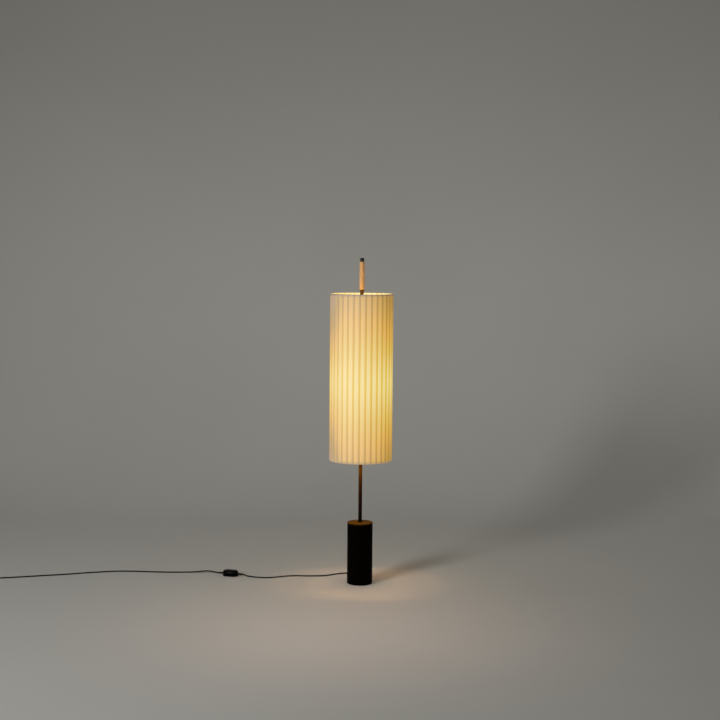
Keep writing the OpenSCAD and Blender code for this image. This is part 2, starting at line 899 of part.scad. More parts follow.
module on_switch() {
    translate([switch_at[0], switch_at[1], 0])
        rotate([0, 0, switch_turn])
            children();
}

module oval(r) {
    for (end = [-1, 1])
        translate([end * switch_straight / 2, 0])
            circle(r);
    square([switch_straight, 2 * r], center = true);
}

// Half the section across the dome, from the joint up
module dome_half(inset) {
    intersection() {
        translate([0, dome_z])
            circle(dome_r - inset, $fn = 180);
        translate([0, switch_joint])
            square([switch_r - inset, switch_h]);
    }
}

module dome(inset) {
    for (end = [-1, 1])
        translate([end * switch_straight / 2, 0, 0])
            rotate_extrude()
                dome_half(inset);
    rotate([90, 0, 90])
        linear_extrude(height = switch_straight, center = true) {
            dome_half(inset);
            mirror([1, 0])
                dome_half(inset);
        }
}

module along_cord(end, from) {
    translate([end * from, 0, switch_joint])
        rotate([0, end * 90, 0])
            children();
}

module cord_ways() {
    for (end = [-1, 1])
        along_cord(end, relief_hold_x - gap)
            cylinder(r = relief_neck_r + fit, h = switch_l);
}

module switch_base() {
    color(black_plastic)
        on_switch()
            difference() {
                translate([0, 0, switch_foot_h])
                    linear_extrude(height = switch_joint - switch_foot_h)
                        oval(switch_r);
                translate([0, 0, floor_top])
                    linear_extrude(height = switch_joint)
                        oval(switch_r - switch_wall);
                cord_ways();
                for (end = [-1, 1])
                    translate([end * boss_x, 0, 0])
                        cylinder(r = switch_screw_r + fit, h = switch_joint);
            }
}

module switch_cover() {
    boss_bottom = floor_top + gap;
    boss_top = switch_h - 6;
    color(black_plastic)
        on_switch()
            difference() {
                union() {
                    difference() {
                        dome(0);
                        translate([0, 0, -0.01])
                            dome(switch_wall);
                    }
                    for (end = [-1, 1])
                        translate([end * boss_x, 0, boss_bottom])
                            cylinder(r = boss_r, h = boss_top - boss_bottom);
                }
                cylinder(r = button_r + 2 * fit, h = 2 * switch_h);
                cord_ways();
                for (end = [-1, 1])
                    translate([end * boss_x, 0, 0])
                        cylinder(r = switch_screw_r + fit, h = switch_joint + 3);
            }
}

module switch_button() {
    crown_r = 3 * button_r;
    color(black_plastic)
        on_switch()
            rotate_extrude() {
                intersection() {
                    translate([0, button_low])
                        square([button_r, button_top - button_low]);
                    translate([0, button_top - crown_r])
                        circle(crown_r, $fn = 240);
                }
                translate([0, button_low])
                    square([button_flange_r, button_flange_t]);
                translate([0, plunger_end])
                    square([plunger_r, button_low - plunger_end + button_flange_t]);
            }
}

module switch_spring() {
    rings = 8;
    low = block_top + spring_wire_r + gap;
    rise = button_low - spring_wire_r - gap - low;
    path = [
        for (i = [0:rings * spring_turns])
            [spring_r * cos(360 * i / rings), spring_r * sin(360 * i / rings), low + rise * i / (rings * spring_turns)]
    ];
    color(zinc)
        on_switch()
            swept_tube(path, spring_wire_r, 6);
}

module switch_block() {
    block_l = 24;
    block_w = 18;
    color([0.85, 0.85, 0.80])
        on_switch()
            difference() {
                translate([-block_l / 2, -block_w / 2, floor_top])
                    cube([block_l, block_w, block_top - floor_top]);
                translate([0, 0, plunger_end - button_travel - 1])
                    cylinder(r = plunger_r + gap, h = switch_h);
            }
}

module switch_screws() {
    color(zinc)
        on_switch()
            for (end = [-1, 1])
                translate([end * boss_x, 0, 0]) {
                    translate([0, 0, switch_foot_h - 1])
                        cylinder(r = 2.6, h = 1);
                    translate([0, 0, switch_foot_h - 1])
                        cylinder(r = switch_screw_r, h = switch_joint + 2 - switch_foot_h);
                }
}

module switch_feet() {
    color([0.09, 0.09, 0.09])
        on_switch()
            for (x = [-1, 1], y = [-1, 1])
                translate([x * switch_straight * 0.7, y * switch_r * 0.55, 0])
                    cylinder(r = 3.5, h = switch_foot_h);
}

// A sleeve moulded on the cord, held between the two shells by a neck with a flange inside
module switch_relief(end) {
    color(black_plastic)
        on_switch() {
            along_cord(end, relief_hold_x - relief_hold_t)
                cylinder(r = relief_hold_r, h = relief_hold_t);
            along_cord(end, relief_hold_x - relief_hold_t / 2)
                cylinder(r = relief_neck_r, h = switch_l / 2 - relief_hold_x + relief_hold_t);
            difference() {
                along_cord(end, switch_l / 2 - 1)
                    strain_relief(switch_relief_l + 1, relief_r, cord_r + 0.9, 0);
                translate([end * switch_straight / 2, 0, 0])
                    cylinder(r = switch_r + gap / 2, h = switch_h);
            }
        }
}

// ---- Free cord ----

module cord_to_switch() {
    color([0.06, 0.06, 0.06])
        swept_tube(eased(to_switch_points), cord_r, 8);
}

module cord_run() {
    color([0.06, 0.06, 0.06])
        swept_tube(eased(run_points), cord_r, 8);
}

module cord_coil() {
    color([0.06, 0.06, 0.06])
        swept_tube(coil_path, cord_r, coil_sides);
}

module cord_tail() {
    color([0.06, 0.06, 0.06])
        swept_tube(eased(tail_points), cord_r, 8);
}

// ---- Plug ----

module on_plug() {
    translate([plug_at[0], plug_at[1], 0])
        rotate([0, 0, -90])
            children();
}

module plug_relief() {
    color(black_plastic)
        on_plug()
            translate([0, 0, plug_h / 2])
                rotate([0, 90, 0])
                    translate([0, 0, plug_relief_l])
                        mirror([0, 0, 1])
                            strain_relief(plug_relief_l, plug_h / 2 - 0.8, cord_r + 0.9, 0);
}

// Puts what follows on the axis of each pin, its z axis pointing out of the plug from x = 0
module on_pins() {
    for (side = [-1, 1])
        translate([0, side * pin_gap / 2, plug_h / 2])
            rotate([0, 90, 0])
                children();
}

module plug_body() {
    color(black_plastic)
        on_plug()
            difference() {
                union() {
                    on_pins()
                        translate([0, 0, plug_front - pin_root])
                            cylinder(r = pin_sleeve_r, h = pin_tip_x - plug_front + pin_root);
                    plug_housing();
                }
                on_pins()
                    translate([0, 0, plug_front - pin_root])
                        cylinder(r = pin_core_r + fit, h = pin_l + pin_root);
            }
}

// A flat body with round sides, drawn in towards the cord
module plug_housing() {
    intersection() {
        linear_extrude(height = plug_h)
            polygon([
                [plug_body_x, -plug_w / 4], [plug_body_x + plug_shoulder, -plug_w / 2],
                [plug_front - 4, -plug_w / 2], [plug_front, -plug_w / 2 + 3],
                [plug_front, plug_w / 2 - 3], [plug_front - 4, plug_w / 2],
                [plug_body_x + plug_shoulder, plug_w / 2], [plug_body_x, plug_w / 4]
            ]);
        translate([0, 0, plug_h / 2])
            rotate([90, 0, 90])
                linear_extrude(height = plug_front + through) {
                    for (side = [-1, 1])
                        translate([side * (plug_w - plug_h) / 2, 0])
                            circle(plug_h / 2);
                    square([plug_w - plug_h, plug_h], center = true);
                }
    }
}

module plug_pins() {
    color(zinc)
        on_plug()
            on_pins()
                rotate_extrude()
                    polygon([
                        [0, plug_front - pin_root], [pin_core_r, plug_front - pin_root],
                        [pin_core_r, pin_tip_x], [pin_r, pin_tip_x],
                        [pin_r, plug_front + pin_l - pin_chamfer],
                        [pin_r - pin_chamfer, plug_front + pin_l], [0, plug_front + pin_l]
                    ]);
}

base_shell();
ballast();
bottom_plate();
plate_screws();
foot_pad();
stem_washer();
stem_nut();
cord_gland();
gland_nut();
gland_relief();
stem_tube();
grip_collar();
wood_grip();
top_cap();
upper_shade_frame();
lower_shade_frame();
shade_ribbons();
grub_screws();
lamp_bracket();
bracket_nipples();
nipple_nuts();
holder_cap(-1);  // holder_cap_left
holder_cap(1);  // holder_cap_right
holder_shell(-1);  // holder_shell_left
holder_shell(1);  // holder_shell_right
holder_insert(-1);  // holder_insert_left
holder_insert(1);  // holder_insert_right
bulb_base(-1);  // bulb_base_left
bulb_base(1);  // bulb_base_right
bulb_glass(-1);  // bulb_glass_left
bulb_glass(1);  // bulb_glass_right
inner_cord();
lead(-1);  // lead_left
lead(1);  // lead_right
cord_to_switch();
switch_base();
switch_cover();
switch_button();
switch_spring();
switch_block();
switch_screws();
switch_feet();
switch_relief(-1);  // switch_relief_left
switch_relief(1);  // switch_relief_right
cord_run();
cord_coil();
cord_tail();
plug_relief();
plug_body();
plug_pins();
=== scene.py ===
"""Looks of a slim floor lamp with a tall cylindrical shade of overlapping ribbons.

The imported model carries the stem, the base, the lampholders and the foot switch. This script dresses
them, and makes the free cord, the ribbons of the shade, the switch's upper shell and its spring, the
studio and the camera. Metres, +Z up, +X right and +Y to the rear, with the origin in the middle of the
base on the floor.
"""

from __future__ import annotations

import logging
import math
from dataclasses import dataclass, field
from enum import Enum
from functools import cache
from typing import Iterable, Sequence

import bpy
import numpy as np
from mathutils import Matrix, Vector

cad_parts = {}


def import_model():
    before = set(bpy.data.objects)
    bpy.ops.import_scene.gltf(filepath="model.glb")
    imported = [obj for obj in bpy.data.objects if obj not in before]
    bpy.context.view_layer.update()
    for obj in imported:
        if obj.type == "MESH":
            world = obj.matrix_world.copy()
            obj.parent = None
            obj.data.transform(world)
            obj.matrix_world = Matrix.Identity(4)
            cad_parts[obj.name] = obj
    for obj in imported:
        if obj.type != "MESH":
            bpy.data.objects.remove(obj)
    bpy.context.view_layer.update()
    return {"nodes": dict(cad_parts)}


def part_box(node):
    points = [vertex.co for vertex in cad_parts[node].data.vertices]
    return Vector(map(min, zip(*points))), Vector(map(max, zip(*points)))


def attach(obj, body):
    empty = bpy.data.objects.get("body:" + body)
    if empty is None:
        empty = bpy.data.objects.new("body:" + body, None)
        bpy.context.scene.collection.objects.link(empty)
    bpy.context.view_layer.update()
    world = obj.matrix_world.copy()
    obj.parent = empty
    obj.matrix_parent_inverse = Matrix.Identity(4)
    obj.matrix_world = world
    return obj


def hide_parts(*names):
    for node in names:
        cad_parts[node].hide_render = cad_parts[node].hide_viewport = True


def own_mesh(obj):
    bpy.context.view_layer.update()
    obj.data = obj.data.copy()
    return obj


log = logging.getLogger("ribbon_lamp")

MM = 0.001
Colour = tuple[float, float, float]
Stops = tuple[tuple[float, Colour], ...]
Array = np.ndarray

# Two assemblies share these: where the switch lies, in millimetres, how it is turned, and how far a
# bulb stands from the stem, in metres.
SWITCH_AT = (-573.0, 119.0)
SWITCH_TURN = math.radians(-17)
BULB_X = 0.048

# Most of a soft noise's values lie between these two.
NOISE_LOW, NOISE_HIGH = 0.3, 0.7


class Side(Enum):
    """The two sides of the lamp that carry a lampholder."""

    LEFT = "left"
    RIGHT = "right"

    @property
    def sign(self) -> int:
        """-1 for the left side and 1 for the right."""
        return -1 if self is Side.LEFT else 1


# ---------------------------------------------------------------------------------------------
# Meshes
# ---------------------------------------------------------------------------------------------


def grid_faces(rows: int, cols: int, round_rows: bool = False, round_cols: bool = False) -> Array:
    """Quads of a grid of points, as indices into its rows laid end to end.

    Args:
        rows: Number of rows of points.
        cols: Number of points in a row.
        round_rows: The last row joins the first.
        round_cols: The last point of a row joins its first.

    Returns:
        An array of four indices for each quad.
    """
    i = np.arange(rows if round_rows else rows - 1)
    j = np.arange(cols if round_cols else cols - 1)
    i, j = (a.ravel() for a in np.meshgrid(i, j, indexing="ij"))
    below, right = (i + 1) % rows, (j + 1) % cols
    return np.stack([i * cols + j, i * cols + right, below * cols + right, below * cols + j], axis=1)


def mesh_object(name: str, points: Array, faces: Array, uv: Array | None = None) -> bpy.types.Object:
    """A smooth mesh object at the origin.

    Args:
        name: Name of the piece.
        points: Its corners, in metres.
        faces: Its quads, as indices of corners.
        uv: A place on the surface for each corner, or None.

    Returns:
        The new object, linked to the scene.
    """
    mesh = bpy.data.meshes.new(name)
    mesh.from_pydata(points.reshape(-1, 3).tolist(), [], faces.tolist())
    mesh.polygons.foreach_set("use_smooth", np.ones(len(mesh.polygons), bool))
    if uv is not None:
        layer = mesh.uv_layers.new(name="surface")
        layer.data.foreach_set("uv", uv.reshape(-1, 2)[faces.ravel()].ravel())
    mesh.update()
    piece = bpy.data.objects.new(name, mesh)
    bpy.context.scene.collection.objects.link(piece)
    return piece


# ---------------------------------------------------------------------------------------------
# Materials
# ---------------------------------------------------------------------------------------------


class Graph:
    """A material's node tree with one Principled shader, and short ways to add nodes to it."""

    def __init__(self, name: str) -> None:
        """Starts a material.

        Args:
            name: Name of the material.
        """
        self.material = bpy.data.materials.new(name)
        self.material.use_nodes = True
        self.tree = self.material.node_tree
        self.shader = self.tree.nodes["Principled BSDF"]
        self._place: bpy.types.NodeSocket | None = None

    def add(self, kind: str, **settings: object) -> bpy.types.Node:
        """A new node of that kind, with its settings."""
        node = self.tree.nodes.new(kind)
        for key, value in settings.items():
            setattr(node, key, value)
        return node

    def link(self, source: bpy.types.NodeSocket, target: bpy.types.NodeSocket) -> None:
        """Joins an output to an input."""
        self.tree.links.new(source, target)

    def feed(self, target: bpy.types.NodeSocket, value: object) -> None:
        """Links a socket to the input, or sets the input to a plain value."""
        if isinstance(value, bpy.types.NodeSocket):
            self.link(value, target)
        else:
            target.default_value = value

    def place(self) -> bpy.types.NodeSocket:
        """The object's own coordinates, in metres."""
        if self._place is None:
            self._place = self.add("ShaderNodeTexCoord").outputs["Object"]
        return self._place

    def stretched(self, scale: Sequence[float]) -> bpy.types.NodeSocket:
        """The object's coordinates, scaled along each axis."""
        node = self.add("ShaderNodeMapping")
        self.link(self.place(), node.inputs["Vector"])
        node.inputs["Scale"].default_value = scale
        return node.outputs["Vector"]

    def noise(
        self,
        scale: float,
        detail: float = 3.0,
        rough: float = 0.5,
        stretch: Sequence[float] = (1, 1, 1),
    ) -> bpy.types.NodeSocket:
        """Soft noise from 0 to 1.

        Args:
            scale: Lumps in a metre.
            detail: Number of finer layers.
            rough: Share of the finer layers.
            stretch: Scale of the coordinates along each axis.

        Returns:
            The noise's value.
        """
        node = self.add("ShaderNodeTexNoise")
        self.link(self.stretched(stretch), node.inputs["Vector"])
        node.inputs["Scale"].default_value = scale
        node.inputs["Detail"].default_value = detail
        node.inputs["Roughness"].default_value = rough
        return node.outputs["Fac"]

    def maths(self, operation: str, a: object, b: object = 0.0) -> bpy.types.NodeSocket:
        """The result of an operation on two numbers or sockets."""
        node = self.add("ShaderNodeMath", operation=operation)
        self.feed(node.inputs[0], a)
        self.feed(node.inputs[1], b)
        return node.outputs["Value"]

    def height(self) -> bpy.types.NodeSocket:
        """The height above the floor, in metres."""
        parts = self.add("ShaderNodeSeparateXYZ")
        self.link(self.place(), parts.inputs["Vector"])
        return parts.outputs["Z"]

    def scaled(self, colour: object, share: object) -> bpy.types.NodeSocket:
        """A colour times a number."""
        node = self.add("ShaderNodeVectorMath", operation="SCALE")
        self.feed(node.inputs[0], colour)
        self.feed(node.inputs["Scale"], share)
        return node.outputs["Vector"]

    def fade(
        self, value: object, low: float, high: float, start: float = 0.0, end: float = 1.0
    ) -> bpy.types.NodeSocket:
        """A smooth step of a value.

        Args:
            value: What is mapped.
            low: Value where the step starts.
            high: Value where it ends.
            start: Result below low.
            end: Result above high.

        Returns:
            The stepped value.
        """
        node = self.add("ShaderNodeMapRange", interpolation_type="SMOOTHSTEP")
        self.feed(node.inputs["Value"], value)
        node.inputs["From Min"].default_value = low
        node.inputs["From Max"].default_value = high
        node.inputs["To Min"].default_value = start
        node.inputs["To Max"].default_value = end
        return node.outputs["Result"]

    def uneven(self, noise: object, level: float, spread: tuple[float, float]) -> bpy.types.NodeSocket:
        """A level that a noise lowers and raises by the spread."""
        return self.fade(noise, NOISE_LOW, NOISE_HIGH, level + spread[0], level + spread[1])

    def ramp(self, value: object, stops: Stops) -> bpy.types.NodeSocket:
        """Colours along a value from 0 to 1.

        Args:
            value: What the ramp reads.
            stops: Pairs of a position and a colour.

        Returns:
            The colour.
        """
        node = self.add("ShaderNodeValToRGB")
        elements = node.color_ramp.elements
        while len(elements) < len(stops):
            elements.new(0.5)
        for element, (position, colour) in zip(elements, stops):
            element.position = position
            element.color = (*colour, 1.0)
        self.feed(node.inputs["Fac"], value)
        return node.outputs["Color"]

    def blend(self, share: object, a: object, b: object) -> bpy.types.NodeSocket:
        """A colour between two, at that share of the second."""
        node = self.add("ShaderNodeMix", data_type="RGBA")
        self.feed(node.inputs[0], share)
        for socket, value in ((node.inputs[6], a), (node.inputs[7], b)):
            self.feed(socket, (*value, 1.0) if isinstance(value, tuple) else value)
        return node.outputs[2]

    def bump(self, height: object, depth: float, strength: float = 1.0) -> None:
        """Gives the shader a bump.

        Args:
            height: Height, from 0 to 1.
            depth: Real height of the bump, in metres.
            strength: Share of the bump that shows.
        """
        node = self.add("ShaderNodeBump")
        node.inputs["Strength"].default_value = strength
        node.inputs["Distance"].default_value = depth
        self.feed(node.inputs["Height"], height)
        self.link(node.outputs["Normal"], self.shader.inputs["Normal"])

    def set(self, **values: object) -> None:
        """Feeds inputs of the shader; an underscore in a name stands for a space."""
        for key, value in values.items():
            value = (*value, 1.0) if isinstance(value, tuple) and len(value) == 3 else value
            self.feed(self.shader.inputs[key.replace("_", " ")], value)


def seen_by_eye(tree: bpy.types.NodeTree) -> bpy.types.NodeSocket:
    """1 for what the camera sees directly, in a gloss or through glass, and 0 for other light."""
    rays = tree.nodes.new("ShaderNodeLightPath").outputs
    seen = rays["Is Camera Ray"]
    for kind in ("Is Glossy Ray", "Is Transmission Ray"):
        node = tree.nodes.new("ShaderNodeMath")
        node.operation = "MAXIMUM"
        tree.links.new(seen, node.inputs[0])
        tree.links.new(rays[kind], node.inputs[1])
        seen = node.outputs["Value"]
    return seen


def shaded(colour: Colour, share: float) -> Colour:
    """A colour times a number."""
    return tuple(c * share for c in colour)


@dataclass(frozen=True)
class Finish:
    """A finish that pieces share."""

    name: str

    def paint(self, g: Graph) -> None:
        """Adds the finish's nodes to a started material."""
        raise NotImplementedError

    @cache
    def material(self) -> bpy.types.Material:
        """The finish's material, made once."""
        g = Graph(self.name)
        self.paint(g)
        return g.material


@dataclass(frozen=True)
class SatinPaint(Finish):
    """Dark stoving paint on metal with a fine orange peel. Its tone changes with the height: each tone
    is a height in metres and a colour. Where it turns bronze, the tone is painted light, the lamp's
    warm glow.
    """

    tones: Stops
    roughness: float
    specular: float
    tint: Colour = (1.0, 0.78, 0.62)
    reach: float = 1.5
    cloud_scale: float = 22.0
    cloud_window: tuple[float, float] = (0.35, 0.75)
    cloud_tones: tuple[float, float] = (0.85, 1.25)
    gloss_scale: float = 60.0
    gloss_spread: tuple[float, float] = (-0.05, 0.08)
    peel_scale: float = 900.0
    peel: float = 6e-6

    def paint(self, g: Graph) -> None:
        """A cloudy colour, uneven gloss, and small lumps as the bump."""
        # The tones by height; their bronze is painted light, the lamp's warm glow on the paint.
        height = g.maths("DIVIDE", g.height(), self.reach)
        tone = g.ramp(height, tuple((z / self.reach, colour) for z, colour in self.tones))
        cloud = g.fade(g.noise(self.cloud_scale, 4, 0.6), *self.cloud_window, *self.cloud_tones)
        g.set(
            Base_Color=g.scaled(tone, cloud),
            Roughness=g.uneven(g.noise(self.gloss_scale, 3), self.roughness, self.gloss_spread),
            Specular_IOR_Level=self.specular,
            Specular_Tint=self.tint,
        )
        g.bump(g.noise(self.peel_scale, 2), self.peel)


@dataclass(frozen=True)
class Metal(Finish):
    """Bare or plated metal with fine marks along one axis."""

    colour: Colour
    roughness: float
    grain: tuple[float, float, float] = (1.0, 1.0, 0.05)
    streak_scale: float = 700.0
    streak_depth: float = 4e-6
    gloss_spread: tuple[float, float] = (-0.08, 0.12)
    dull_scale: float = 40.0
    dull_window: tuple[float, float] = (0.4, 0.7)
    dull_share: float = 0.82

    def paint(self, g: Graph) -> None:
        """Streaks of gloss and a light bump from the same stretched noise."""
        streak = g.noise(self.streak_scale, 3, 0.6, self.grain)
        patches = g.fade(g.noise(self.dull_scale, 4), *self.dull_window)
        g.set(
            Base_Color=g.blend(patches, self.colour, shaded(self.colour, self.dull_share)),
            Metallic=1.0,
            Roughness=g.uneven(streak, self.roughness, self.gloss_spread),
        )
        g.bump(streak, self.streak_depth)


@dataclass(frozen=True)
class CastIron(Finish):
    """Rough grey casting."""

    colour: Colour = (0.16, 0.16, 0.165)
    patch_scale: float = 80.0
    patch_share: float = 0.6
    coarse_scale: float = 260.0
    fine_scale: float = 900.0
    lump_depth: float = 1.2e-4
    metallic: float = 0.5
    roughness: float = 0.75

    def paint(self, g: Graph) -> None:
        """Coarse and fine lumps together."""
        lumps = g.maths("ADD", g.noise(self.coarse_scale, 5, 0.6), g.noise(self.fine_scale, 2))
        patches = g.noise(self.patch_scale, 4)
        g.set(
            Base_Color=g.blend(patches, self.colour, shaded(self.colour, self.patch_share)),
            Metallic=self.metallic,
            Roughness=self.roughness,
        )
        g.bump(lumps, self.lump_depth)


@dataclass(frozen=True)
class Rubber(Finish):
    """Soft black sheath or pad."""

    colour: Colour
    roughness: float
    specular: float = 0.2
    skin_depth: float = 8e-6
    skin_scale: float = 1800.0
    dust_scale: float = 130.0
    dust_window: tuple[float, float] = (0.45, 0.8)
    dust_share: float = 1.6
    dust_level: float = 0.001
    gloss_scale: float = 300.0
    gloss_spread: tuple[float, float] = (-0.06, 0.1)

    def paint(self, g: Graph) -> None:
        """Dusty patches, and a fine skin as the bump."""
        dust = g.fade(g.noise(self.dust_scale, 4, 0.6), *self.dust_window)
        dusty = tuple(c * self.dust_share + self.dust_level for c in self.colour)
        g.set(
            Base_Color=g.blend(dust, self.colour, dusty),
            Roughness=g.uneven(g.noise(self.gloss_scale, 2), self.roughness, self.gloss_spread),
            Specular_IOR_Level=self.specular,
        )
        g.bump(g.noise(self.skin_scale, 2), self.skin_depth)


@dataclass(frozen=True)
class Plastic(Finish):
    """Moulded plastic."""

    colour: Colour
    roughness: float
    specular: float = 0.5
    tone_scale: float = 30.0
    tone_share: float = 0.9
    scuff_scale: float = 420.0
    scuff_window: tuple[float, float] = (0.5, 0.75)
    scuff_rise: float = 0.12
    wave_scale: float = 70.0
    wave_depth: float = 2.5e-5

    def paint(self, g: Graph) -> None:
        """Slow waves of the surface, and scuffs in the gloss."""
        scuff = g.fade(g.noise(self.scuff_scale, 5, 0.7), *self.scuff_window)
        tone = g.noise(self.tone_scale, 2)
        g.set(
            Base_Color=g.blend(tone, self.colour, shaded(self.colour, self.tone_share)),
            Roughness=g.fade(scuff, 0.0, 1.0, self.roughness, self.roughness + self.scuff_rise),
            Specular_IOR_Level=self.specular,
        )
        g.bump(g.noise(self.wave_scale, 2), self.wave_depth)


@dataclass(frozen=True)
class OiledWood(Finish):
    """Pale turned wood whose grain runs along the grip."""

    pale: Colour = (0.95, 0.565, 0.25)
    dark: Colour = (0.76, 0.43, 0.17)
    pore: Colour = (0.20, 0.09, 0.035)
    roughness: float = 0.49
    gloss_spread: tuple[float, float] = (-0.07, 0.07)
    specular: float = 0.4
    band_scale: float = 95.0
    band_bend: float = 5.5
    band_window: tuple[float, float] = (0.05, 0.55)
    band_share: float = 0.6
    tone_window: tuple[float, float] = (0.25, 0.8)
    warp_scale: float = 14.0
    fibre_scale: float = 900.0
    pore_scale: float = 2600.0
    pore_window: tuple[float, float] = (0.62, 0.72)
    pore_share: float = 0.45
    depth: float = 3e-5

    def paint(self, g: Graph) -> None:
        """Bands of early and late wood, long fibres, and short pores."""
        warp = g.noise(self.warp_scale, 2, 0.5, (1, 1, 0.12))
        bands = g.add("ShaderNodeTexWave", wave_type="BANDS", bands_direction="X")
        g.link(g.stretched((1, 0.6, 0.03)), bands.inputs["Vector"])
        bands.inputs["Scale"].default_value = self.band_scale
        bands.inputs["Distortion"].default_value = self.band_bend
        bands.inputs["Detail"].default_value = 3
        fibres = g.noise(self.fibre_scale, 4, 0.65, (1, 1, 0.035))
        pores = g.fade(g.noise(self.pore_scale, 2, 0.5, (1, 1, 0.05)), *self.pore_window)
        ring = g.fade(g.maths("MULTIPLY", bands.outputs["Fac"], warp), *self.band_window)
        share = g.maths(
            "ADD",
            g.maths("MULTIPLY", ring, self.band_share),
            g.maths("MULTIPLY", fibres, 1 - self.band_share),
        )
        wood = g.blend(g.fade(share, *self.tone_window), self.pale, self.dark)
        g.set(
            Base_Color=g.blend(g.maths("MULTIPLY", pores, self.pore_share), wood, self.pore),
            Roughness=g.uneven(fibres, self.roughness, self.gloss_spread),
            Specular_IOR_Level=self.specular,
        )
        g.bump(g.maths("SUBTRACT", fibres, pores), self.depth)


@dataclass(frozen=True)
class OpalGlass(Finish):
    """The lit opal glass of a bulb, brightest in its ball."""

    centre_z: float
    reach: float = 0.05
    middle: Colour = (1.0, 0.86, 0.58)
    neck: Colour = (1.0, 0.66, 0.32)
    strength: float = 3.0
    glass: Colour = (0.93, 0.9, 0.84)
    roughness: float = 0.16

    def paint(self, g: Graph) -> None:
        """Emission that fades from the ball's middle towards the neck."""
        away = g.maths("ABSOLUTE", g.maths("SUBTRACT", g.height(), self.centre_z))
        glow = g.ramp(g.fade(away, 0.0, self.reach), ((0.0, self.middle), (1.0, self.neck)))
        g.set(
            Base_Color=self.glass,
            Roughness=self.roughness,
            Emission_Color=glow,
            Emission_Strength=self.strength,
        )


@dataclass(frozen=True)
class ScrewCap(Finish):
    """The thin metal screw base of a bulb, with its rolled thread."""

    pitch: float = 3.6 * MM
    depth: float = 0.6 * MM
    colour: Colour = (0.72, 0.72, 0.73)
    roughness: float = 0.34

    def paint(self, g: Graph) -> None:
        """A wave along the axis as the thread. A wave texture of scale 1 has pi / 10 as its length."""
        wave = g.add("ShaderNodeTexWave", wave_type="BANDS", bands_direction="Z")
        g.link(g.place(), wave.inputs["Vector"])
        wave.inputs["Scale"].default_value = math.pi / 10 / self.pitch
        g.set(Base_Color=self.colour, Metallic=1.0, Roughness=self.roughness)
        g.bump(wave.outputs["Fac"], self.depth)


@dataclass(frozen=True)
class RibbonCloth(Finish):
    """Stiffened cream ribbon, lit through from behind.

    The lit colour follows two attributes of the surface: how strong the light of the bulbs is there,
    and, across the ribbon, whether a second layer lies over or under it. The lap is a share of the
    ribbon's width.
    """

    lap: float
    cream: Colour = (0.34, 0.34, 0.35)
    roughness: float = 0.62
    sheen: float = 0.15
    sheen_roughness: float = 0.4
    rib: float = 0.85 * MM
    rib_depth: float = 5e-5
    rib_strength: float = 0.6
    one_layer: Stops = (
        (0.0, (0.22, 0.135, 0.055)),
        (0.08, (0.39, 0.235, 0.08)),
        (0.20, (0.446, 0.253, 0.023)),
        (0.46, (0.699, 0.391, 0.068)),
        (0.66, (0.718, 0.491, 0.107)),
        (1.0, (0.802, 0.655, 0.277)),
    )
    two_layers: Stops = (
        (0.0, (0.15, 0.09, 0.035)),
        (0.08, (0.31, 0.185, 0.09)),
        (0.24, (0.311, 0.178, 0.04)),
        (0.50, (0.529, 0.278, 0.001)),
        (0.78, (0.645, 0.384, 0.001)),
        (1.0, (0.723, 0.494, 0.001)),
    )
    near_edge: tuple[float, float] = (-0.02, 0.02)
    far_edge: tuple[float, float] = (-0.03, 0.02)
    streak_scale: float = 420.0
    streak_tones: tuple[float, float] = (0.96, 1.03)
    fibre_scale: float = 380.0
    fibre_share: float = 0.9

    def glow(
        self, g: Graph, across: bpy.types.NodeSocket, along: bpy.types.NodeSocket
    ) -> bpy.types.NodeSocket:
        """The colour of the light that comes through.

        Args:
            g: The material's graph.
            across: Place across the ribbon, from 0 to 1.
            along: The strength of the bulbs' light there.

        Returns:
            The emission's colour.
        """
        near, far = self.lap, 1 - self.lap
        first = g.fade(across, near + self.near_edge[0], near + self.near_edge[1], 1.0, 0.0)
        last = g.fade(across, far + self.far_edge[0], far + self.far_edge[1])
        layers = g.maths("MAXIMUM", first, last)
        streaks = g.noise(self.streak_scale, 3, 0.6, (1, 1, 0.02))
        lit = g.blend(layers, g.ramp(along, self.one_layer), g.ramp(along, self.two_layers))
        return g.scaled(lit, g.fade(streaks, NOISE_LOW, NOISE_HIGH, *self.streak_tones))

    def paint(self, g: Graph) -> None:
        """Cross ribs of the weave as the bump, over the cream and its glow."""
        surface = g.add("ShaderNodeUVMap", uv_map="surface")
        across = g.add("ShaderNodeSeparateXYZ")
        g.link(surface.outputs["UV"], across.inputs["Vector"])
        light = g.add("ShaderNodeAttribute", attribute_name="bulb_light")
        ribs = g.maths("SINE", g.maths("MULTIPLY", g.height(), 2 * math.pi / self.rib))
        fibres = g.noise(self.fibre_scale, 3, 0.6, (1, 1, 0.03))
        g.set(
            Base_Color=g.blend(fibres, self.cream, shaded(self.cream, self.fibre_share)),
            Roughness=self.roughness,
            Sheen_Weight=self.sheen,
            Sheen_Roughness=self.sheen_roughness,
            Emission_Color=self.glow(g, across.outputs["X"], light.outputs["Fac"]),
            Emission_Strength=1.0,
        )
        g.bump(g.fade(ribs, -1.0, 1.0), self.rib_depth, self.rib_strength)
        g.material.cycles.emission_sampling = "NONE"


